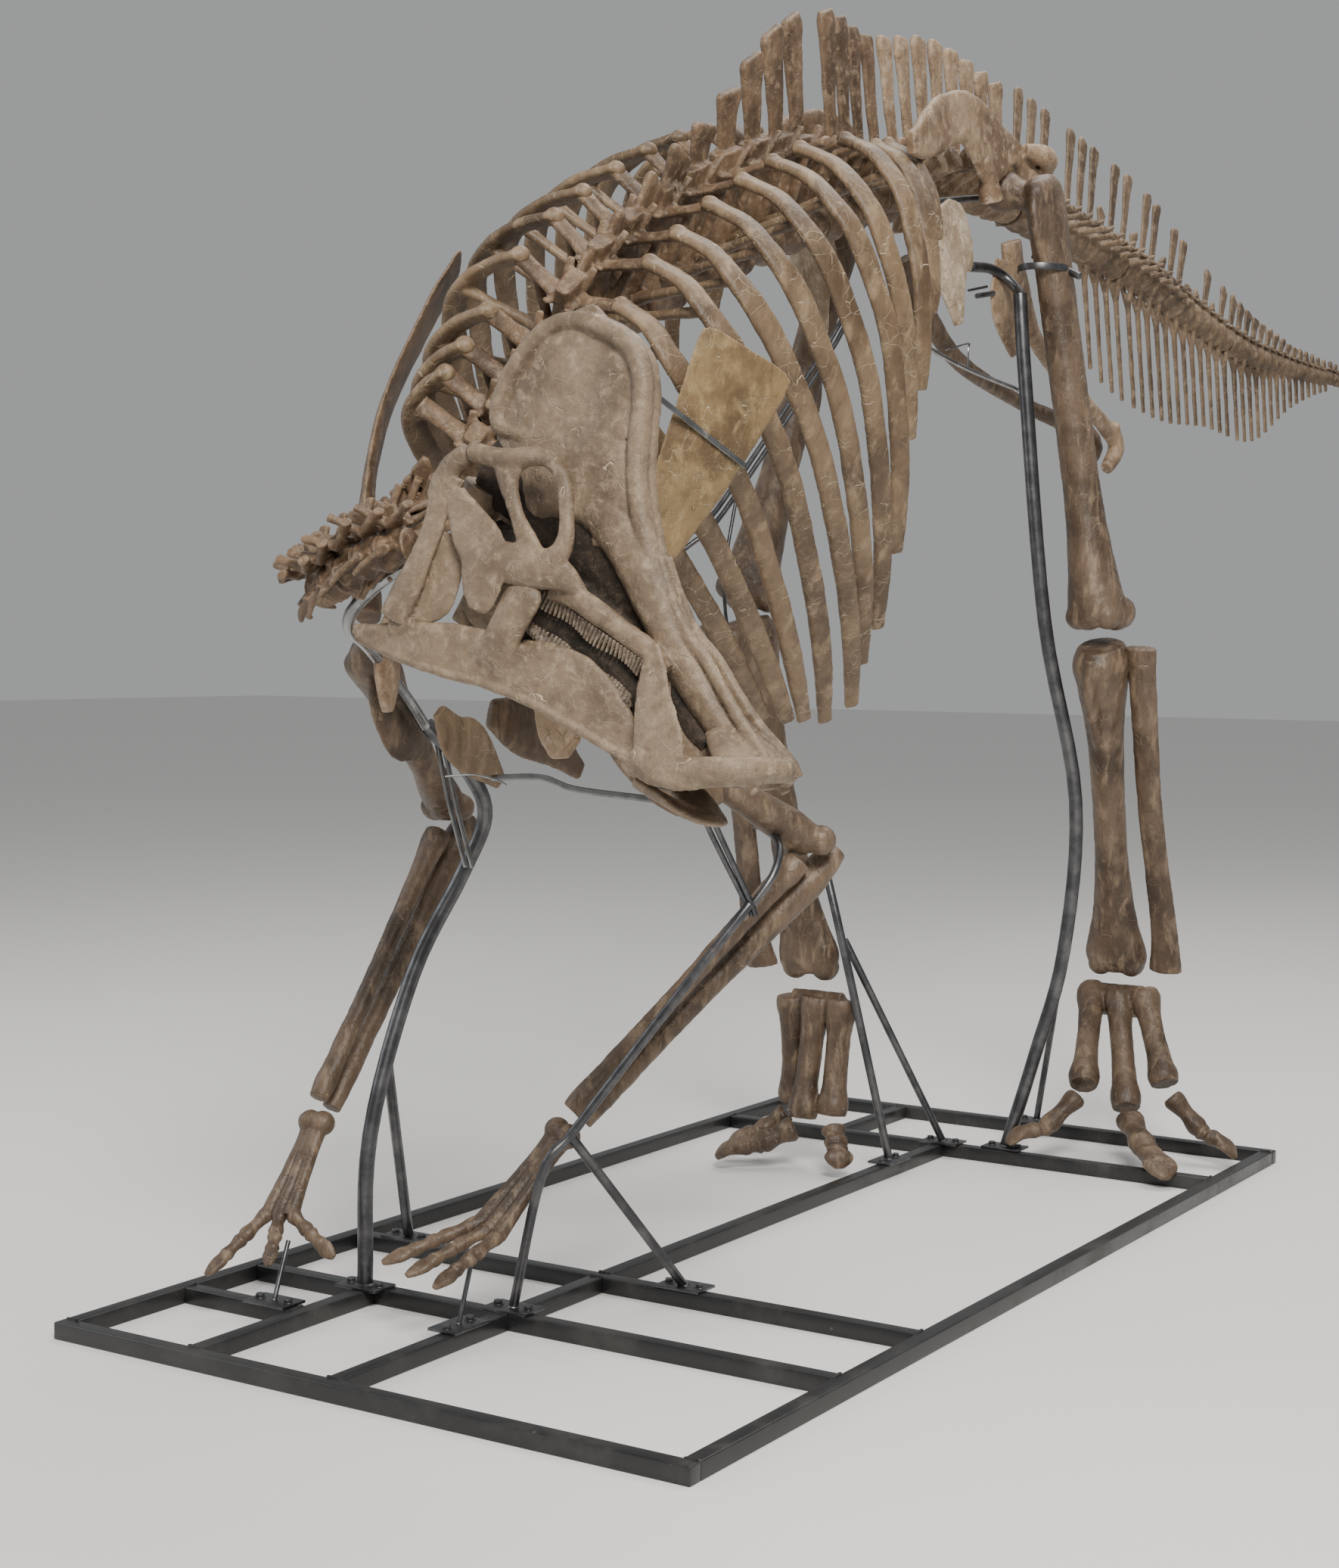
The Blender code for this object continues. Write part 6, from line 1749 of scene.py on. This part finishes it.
# ---- mount
@dataclass
class FloorFrame:
    """Welded square tube that lies on the floor."""

    shop: Workshop
    tube: float = 0.035
    width: float = 1.5
    length: float = 3.0
    cross: Row = (0.57, 0.91, 2.57)

    def bar(self, start: Point, end: Point) -> Shell:
        """Builds one tube.

        Args:
            start: x and y of one end of its middle line.
            end: x and y of the other.

        Returns:
            The closed shell.
        """
        a, b = vec(*start, self.tube / 2), vec(*end, self.tube / 2)
        run = b - a
        return block((a + b) / 2, (float(np.linalg.norm(run)), self.tube, self.tube),
                     (unit(run), np.cross(Z, unit(run)), Z))

    def weld(self, at: Point, across: Point) -> Shell:
        """Builds a lumpy weld bead beside a joint."""
        middle = vec(*at)
        points = [middle + np.asarray(across) * (t - 0.5) * self.tube * 0.9 + Z * wobble(9 * t, 0.0008)
                  for t in np.linspace(0, 1, 7)]
        swell = [0.003 + 0.0011 * (k % 2) for k in range(7)]
        return loft(points, swell, swell, Z, sides=8, steps=1)

    def build(self) -> None:
        """Builds the tubes and their weld beads."""
        edge, wide = self.tube / 2, self.width / 2
        rail, far = wide - edge, self.length - edge
        runs = [((-rail, edge * 2), (-rail, far - edge)), ((rail, edge * 2), (rail, far - edge)),
                ((-wide, edge), (wide, edge)), ((-wide, far), (wide, far))]
        runs += [((-rail + edge, y), (rail - edge, y)) for y in self.cross]
        runs += [((-rail + edge, 0.35), (-0.4 - edge, 0.35)),
                 ((-0.4, edge * 2), (-0.4, self.cross[0] - edge)),
                 ((MIDLINE, edge * 2), (MIDLINE, self.cross[0] - edge)),
                 ((MIDLINE, self.cross[0] + edge), (MIDLINE, self.cross[1] - edge)),
                 ((MIDLINE, self.cross[1] + edge), (MIDLINE, self.cross[2] - edge)),
                 ((-0.375, self.cross[2] + edge), (-0.375, far - edge))]
        shells = [self.bar(*run) for run in runs]
        self.shop.steel("floor_tubes", shells, FRAME_PAINT, ("floor_frame",), 0.003)
        beads = []
        for start, end in runs[4:]:
            along = unit(vec(*end, 0) - vec(*start, 0))
            for place in (start, end):
                beads.append(self.weld((*place, self.tube - 0.0005), np.cross(Z, along)))
        for x in (-rail, rail):
            for y in (edge * 2, far - edge):
                beads.append(self.weld((x, y, self.tube - 0.0005), X))
        self.shop.steel("weld_beads", beads, FRAME_PAINT, (), 0.0004)


@dataclass
class Posts:
    """Bent steel posts, rods and their bolted foot plates."""

    shop: Workshop
    top: float = 0.038
    plate: Row = (0.07, 0.11, 0.006)

    def foot(self, x: float, y: float, along: Array = X) -> list[Shell]:
        """Builds a bolted plate with washers and two hexagon heads.

        Args:
            x: its place across.
            y: its place along the frame.
            along: the direction of its length.

        Returns:
            Its shells.
        """
        low = 0.0354
        across = np.cross(Z, along)
        shells = [block(vec(x, y, low + self.plate[2] / 2), self.plate, (across, along, Z))]
        for end in (-1, 1):
            at = vec(x, y, low + self.plate[2]) + along * end * 0.038
            shells.append(loft([at - Z * 0.0005, at + Z * 0.0012], 0.0125, 0.0125, X, sides=24, steps=1))
            shells.append(loft([at, at + Z * 0.0072, at + Z * 0.0082], (0.0098, 0.0098, 0.0088),
                               (0.0098, 0.0098, 0.0088), X, sides=6, steps=1))
        return shells

    def post(self, name: str, path: Sequence[Point], radius: float, feet: Sequence[Point],
             along: Array = X, props: Sequence[tuple[Path, float]] = ()) -> None:
        """Builds one post with its props and foot plates.

        Args:
            name: the CAD node.
            path: where the post passes.
            radius: its radius.
            feet: x and y of each foot plate.
            along: the direction of the first plate's length.
            props: path and radius of each prop.
        """
        bars = ((path, radius), *props)
        shells = [rod(points, size) for points, size in bars]
        for number, (x, y) in enumerate(feet):
            shells.extend(self.foot(x, y, along if number == 0 else X))
        for points, size in bars:
            x, y, z = points[0]
            shells.append(loft([vec(x, y, z + 0.002), vec(x, y, z + 0.007)], [size * 1.45, size * 1.05],
                               [size * 1.45, size * 1.05], X, sides=20, steps=1))
        self.shop.steel(name + "_steel", shells, POST_STEEL, (name,), 0.0012)

    def build(self) -> None:
        """Builds every post."""
        top = self.top
        neck = ((-0.406, 0.55, top), (-0.418, 0.58, 0.35), (-0.4, 0.7, 0.68), (-0.36, 0.82, 0.89),
                (-0.32, 0.85, 1.02), (-0.33, 0.8, 1.12), (-0.38, 0.72, 1.22))
        prop = ((-0.591, 0.925, top), (-0.412, 0.63, 0.5))
        self.post("post_neck", neck, 0.017, ((-0.406, 0.55), (-0.591, 0.925)), X, ((prop, 0.012),))
        arm = ((-0.045, 0.586, top), (0.045, 0.56, 0.33), (0.092, 0.61, 0.42), (0.232, 0.73, 0.66),
               (0.352, 0.85, 0.87))
        prop = ((0.156, 0.924, top), (0.083, 0.605, 0.405))
        self.post("post_arm", arm, 0.01, ((-0.045, 0.586), (0.156, 0.924)), X, ((prop, 0.01),))
        hip = ((0.128, 2.609, top), (0.205, 2.62, 0.3), (0.277, 2.63, 0.58), (0.312, 2.61, 0.99),
               (0.262, 2.5, 1.465), (0.216, 2.458, 2.076), (0.2, 2.45, 2.31))
        self.post("post_hip", hip, 0.018, ((0.128, 2.6),))
        shank = ((-0.056, 2.274, top), (-0.16, 2.2, 0.6), (-0.235, 2.215, 0.84))
        prop = ((-0.043, 2.57, top), (-0.165, 2.215, 0.62))
        self.post("post_shank_right", shank, 0.011, ((-0.056, 2.274), (-0.043, 2.57)), Y, ((prop, 0.01),))
        self.post("post_shank_left", ((0.053, 2.98, top), (0.12, 2.97, 0.45), (0.2, 2.9, 0.88)), 0.009,
                  ((0.053, 2.9825),))
        self.post("rod_hand_right", ((-0.481, 0.35, top), (-0.495, 0.41, 0.15)), 0.005, ((-0.481, 0.35),))
        left = ((-0.061, 0.425, top), (-0.061, 0.47, 0.165))
        self.post("rod_hand_left", left, 0.005, ((-0.061, 0.425),), Y)


@dataclass
class Braces:
    """Thinner steel that ties the bones to the posts: tubes, straps, rods and clips."""

    shop: Workshop

    def strap(self, points: Sequence[Point], width: float, face: Point, thick: float = 0.0015) -> Shell:
        """A flat bar bent through points, as wide as width, that lies across face."""
        return loft(points, width / 2, thick, face, sides=12, steps=6, power=6.0)

    def chest(self) -> None:
        """Builds the tube that carries the head and the rods round the chest."""
        head_tube = ((0.13, 0.115, 1.545), (0.069, 0.12, 1.538), (0.034, 0.135, 1.53), (-0.033, 0.16, 1.51),
                     (-0.092, 0.185, 1.486), (-0.164, 0.22, 1.45), (-0.235, 0.3, 1.418),
                     (-0.292, 0.42, 1.385), (-0.335, 0.54, 1.33), (-0.368, 0.65, 1.268),
                     (-0.374, 0.71, 1.215))
        self.shop.steel("head_tube", [rod(head_tube, 0.0125, 5, 20)], BRIGHT_STEEL)
        pair = ((-0.364, 0.75, 1.175), (-0.335, 0.755, 1.05), (-0.294, 0.76, 0.914))
        shells = [rod([vec(*p) + X * shift for p in pair], 0.0055, 3) for shift in (-0.009, 0.009)]
        shells.append(rod(((-0.234, 0.6, 1.118), (-0.16, 0.6, 1.124), (-0.1, 0.6, 1.115),
                           (-0.077, 0.6, 1.107)), 0.0022, 4, 8))
        shells.append(self.strap(((-0.19, 0.7, 1.112), (-0.064, 0.7, 1.118), (0.023, 0.7, 1.097),
                                  (0.183, 0.7, 1.086), (0.25, 0.7, 1.082), (0.33, 0.72, 1.08)), 0.014, Z))
        self.shop.steel("chest_rods", shells, BRIGHT_STEEL)
        inner = [rod(((-0.2, 1.05, 1.44), (-0.09, 1.27, 1.63), (-0.05, 1.366, 1.704), (-0.05, 1.9, 2.154),
                      (-0.05, 1.96, 2.24)), 0.006, 4),
                 rod(((-0.2, 1.08, 1.42), (-0.09, 1.29, 1.61), (-0.05, 1.393, 1.697), (-0.05, 1.92, 2.142),
                      (-0.05, 1.98, 2.24)), 0.006, 4),
                 rod(((0.05, 1.32, 1.8), (0.05, 1.286, 1.731), (0.05, 1.235, 1.496), (0.05, 1.338, 1.226)),
                     0.004, 8)]
        self.shop.steel("inner_rods", inner, POST_STEEL)
        blade = self.strap(((0.299, 0.579, 1.865), (0.31, 0.61, 1.847), (0.333, 0.671, 1.81),
                            (0.362, 0.746, 1.765), (0.373, 0.777, 1.747)), 0.012, Z)
        self.shop.steel("blade_strap", [blade], BRIGHT_STEEL, (), 0.0004)

    def arm(self) -> None:
        """Builds the rods that hold the left arm."""
        shells = [rod(((0.27, 0.795, 1.06), (0.284, 0.8, 1.02), (0.339, 0.85, 0.876),
                       (0.352, 0.858, 0.845)), 0.006, 4),
                  rod(((0.285, 0.803, 1.06), (0.299, 0.808, 1.02), (0.35, 0.85, 0.88),
                       (0.36, 0.858, 0.845)), 0.006, 4),
                  rod(((0.282, 0.985, 1.02), (0.312, 0.975, 1.014), (0.343, 0.96, 1.002),
                       (0.373, 0.93, 0.974), (0.381, 0.89, 0.926), (0.355, 0.855, 0.868)), 0.0085, 6)]
        self.shop.steel("arm_rods", shells, POST_STEEL)

    def hip(self) -> None:
        """Builds the bars, stubs and bands round the left hip."""
        hook = ((0.1, 2.36, 2.374), (0.105, 2.4, 2.378), (0.115, 2.45, 2.38), (0.135, 2.492, 2.364),
                (0.168, 2.495, 2.331), (0.195, 2.47, 2.3), (0.203, 2.452, 2.25))
        pin = ((0.2, 2.53, 2.42), (0.24, 2.53, 2.397), (0.28, 2.541, 2.38), (0.33, 2.534, 2.356))
        beam = ((0.1, 2.145, 2.505), (0.1, 2.29, 2.535), (0.1, 2.431, 2.562))
        shells = [rod(hook, 0.013, 6, 18), rod(((0.12, 2.31, 2.306), (0.12, 2.42, 2.33)), 0.0035, 2, 10),
                  rod(((0.12, 2.36, 2.298), (0.12, 2.46, 2.318)), 0.007, 2), rod(pin, 0.0095, 4, 18),
                  rod(beam, 0.009, 4)]
        turn = np.linspace(-2.9, 0.5, 12)
        band = [vec(0.232 + 0.064 * math.cos(a), 2.525 + 0.078 * math.sin(a), 2.378) for a in turn]
        shells.append(self.strap(band, 0.018, Z, 0.002))
        self.shop.steel("hip_bars", shells, POST_STEEL, (), 0.0006)
        wire = ((0.1, 2.225, 2.146), (0.1, 2.353, 2.177), (0.1, 2.356, 2.165), (0.1, 2.355, 2.117))
        belly = ((0.1, 2.06, 2.175), (0.1, 2.101, 2.146), (0.1, 2.35, 2.112), (0.12, 2.6, 2.085),
                 (0.19, 2.5, 2.07))
        self.shop.steel("belly_rods", [rod(wire, 0.0024, 3, 8), rod(belly, 0.006, 6)], BRIGHT_STEEL)

    def build(self) -> None:
        """Builds every brace."""
        self.chest()
        self.arm()
        self.hip()


# ---- studio
@dataclass
class Studio:
    """Pale floor, soft light and the camera."""

    shop: Workshop
    eye: Point = (2.784, -3.26, 1.391)
    right: Point = (0.842, 0.539, 0.008)
    up: Point = (-0.038, 0.045, 0.998)
    ahead: Point = (-0.538, 0.841, -0.058)
    lens: float = 54.34

    def camera(self) -> None:
        """Places the camera."""
        data = bpy.data.cameras.new("camera")
        data.lens = self.lens
        data.sensor_width = 36.0
        camera = bpy.data.objects.new("camera", data)
        axes = (Vector(self.right), Vector(self.up), -Vector(self.ahead))
        matrix = Matrix([axis.normalized() for axis in axes]).transposed().to_4x4()
        matrix.translation = vec(*self.eye) + self.shop.shift
        camera.matrix_world = matrix
        bpy.context.scene.collection.objects.link(camera)
        bpy.context.scene.camera = camera

    def lamp(self, name: str, at: Point, target: Point, size: float, power: float, tone: Tone) -> None:
        """Hangs one soft lamp.

        Args:
            name: its name.
            at: where it hangs.
            target: what it points at.
            size: its width in metres.
            power: its watts.
            tone: its colour.
        """
        data = bpy.data.lights.new(name, "AREA")
        data.size = size
        data.energy = power
        data.color = tone
        lamp = bpy.data.objects.new(name, data)
        lamp.location = at
        lamp.rotation_euler = (Vector(target) - Vector(at)).to_track_quat("-Z", "Y").to_euler()
        bpy.context.scene.collection.objects.link(lamp)

    def build(self) -> None:
        """Sets up floor, light and camera."""
        self.camera()
        corners = np.array([(x * 40.0, y * 40.0, 0.0) for x, y in ((-1, -1), (1, -1), (1, 1), (-1, 1))])
        floor = welded_mesh("studio_floor", [(corners, [(0, 1, 2, 3)])], np.zeros(3))
        floor.data.materials.append(self.shop.material(FloorFinish()))
        self.lamp("key_lamp", (3.5, -6.5, 5.5), (0.0, -1.5, 1.4), 2.2, 620.0, (1.0, 0.965, 0.91))
        self.lamp("fill_lamp", (-5.0, -5.0, 3.5), (0.0, -1.0, 1.3), 4.0, 110.0, (0.95, 0.97, 1.0))
        self.lamp("top_lamp", (0.5, 0.5, 6.5), (0.0, 0.0, 1.5), 4.0, 260.0, (1.0, 0.98, 0.95))
        world = bpy.data.worlds.new("studio_air")
        bpy.context.scene.world = world
        world.use_nodes = True
        sky = world.node_tree.nodes["Background"].inputs
        sky[0].default_value = (0.86, 0.87, 0.88, 1.0)
        sky[1].default_value = 0.42


LEFT_HIND = {"hip": (0.13, 2.5, 2.585), "top": (0.225, 2.52, 2.62), "knee": (0.365, 2.63, 1.43),
             "ankle": (0.303, 2.95, 0.48), "splay": (0.57, -0.82, 0.0),
             "toes": {"II": ((0.305, 2.713, 0.2), (0.235, 2.625, 0.1), (0.16, 2.55, 0.08)),
                      "III": ((0.405, 2.78, 0.135), (0.51, 2.645, 0.075), (0.62, 2.51, 0.05)),
                      "IV": ((0.49, 2.847, 0.2), (0.59, 2.86, 0.09), (0.685, 2.855, 0.05))}}
RIGHT_HIND = {"hip": (-0.23, 2.5, 2.585), "top": (-0.325, 2.5, 2.62), "knee": (-0.4, 2.07, 1.49),
              "ankle": (-0.27, 2.24, 0.5), "splay": (-0.35, -0.93, 0.0),
              "toes": {"II": ((-0.195, 2.21, 0.14), (-0.158, 2.17, 0.085), (-0.128, 2.133, 0.05)),
                       "III": ((-0.28, 2.2, 0.125), (-0.37, 2.13, 0.07), (-0.465, 2.067, 0.05)),
                       "IV": ((-0.345, 2.27, 0.15), (-0.43, 2.235, 0.08), (-0.51, 2.2, 0.05))}}
LEFT_FORE = {"shoulder": (0.12, 0.57, 1.31), "elbow": (0.39, 1.07, 0.97), "wrist": (0.035, 0.68, 0.42),
             "palm": (-0.06, 0.52, 0.21), "blade_top": (0.389, 0.766, 1.972), "blade_side": (0.45, 0.85, 0.0),
             "coracoid_at": (0.12, 0.51, 1.28), "blade_bow": 0.02, "crest_reach": 0.078,
             "fingers": ((-0.22, 0.38, 0.15), (-0.13, 0.345, 0.145), (-0.04, 0.32, 0.14))}
RIGHT_FORE = {"shoulder": (-0.41, 0.54, 1.39), "elbow": (-0.5, 0.97, 1.0), "wrist": (-0.53, 0.557, 0.4),
              "palm": (-0.52, 0.41, 0.2), "blade_top": (-0.43, 0.89, 2.21), "blade_side": (-0.54, 0.84, 0.0),
              "coracoid_at": (-0.33, 0.53, 1.36), "blade_bow": 0.075, "crest_reach": 0.04,
              "fingers": ((-0.586, 0.26, 0.096), (-0.47, 0.32, 0.12), (-0.367, 0.405, 0.134))}


def frame_shift() -> Array:
    """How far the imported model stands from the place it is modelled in."""
    low, high = (np.array(corner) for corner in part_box("floor_frame"))
    return vec((low[0] + high[0]) / 2, (low[1] + high[1]) / 2 - 1.5, low[2])


def main() -> None:
    """Builds every sub-assembly in order."""
    logging.basicConfig(level=logging.INFO, format="%(message)s")
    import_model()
    shop = Workshop(frame_shift())
    Studio(shop).build()
    spine = Backbone(shop)
    for part in (Skull(shop), Neck(shop), spine, RibCage(shop, spine), Pelvis(shop), Tail(shop),
                 HindLimb(shop, Side.LEFT, **LEFT_HIND), HindLimb(shop, Side.RIGHT, **RIGHT_HIND),
                 ForeLimb(shop, Side.LEFT, **LEFT_FORE), ForeLimb(shop, Side.RIGHT, **RIGHT_FORE),
                 Breast(shop), FloorFrame(shop), Posts(shop), Braces(shop)):
        log.info("building %s", type(part).__name__)
        part.build()
    bpy.context.view_layer.update()


if __name__ == "__main__":
    main()
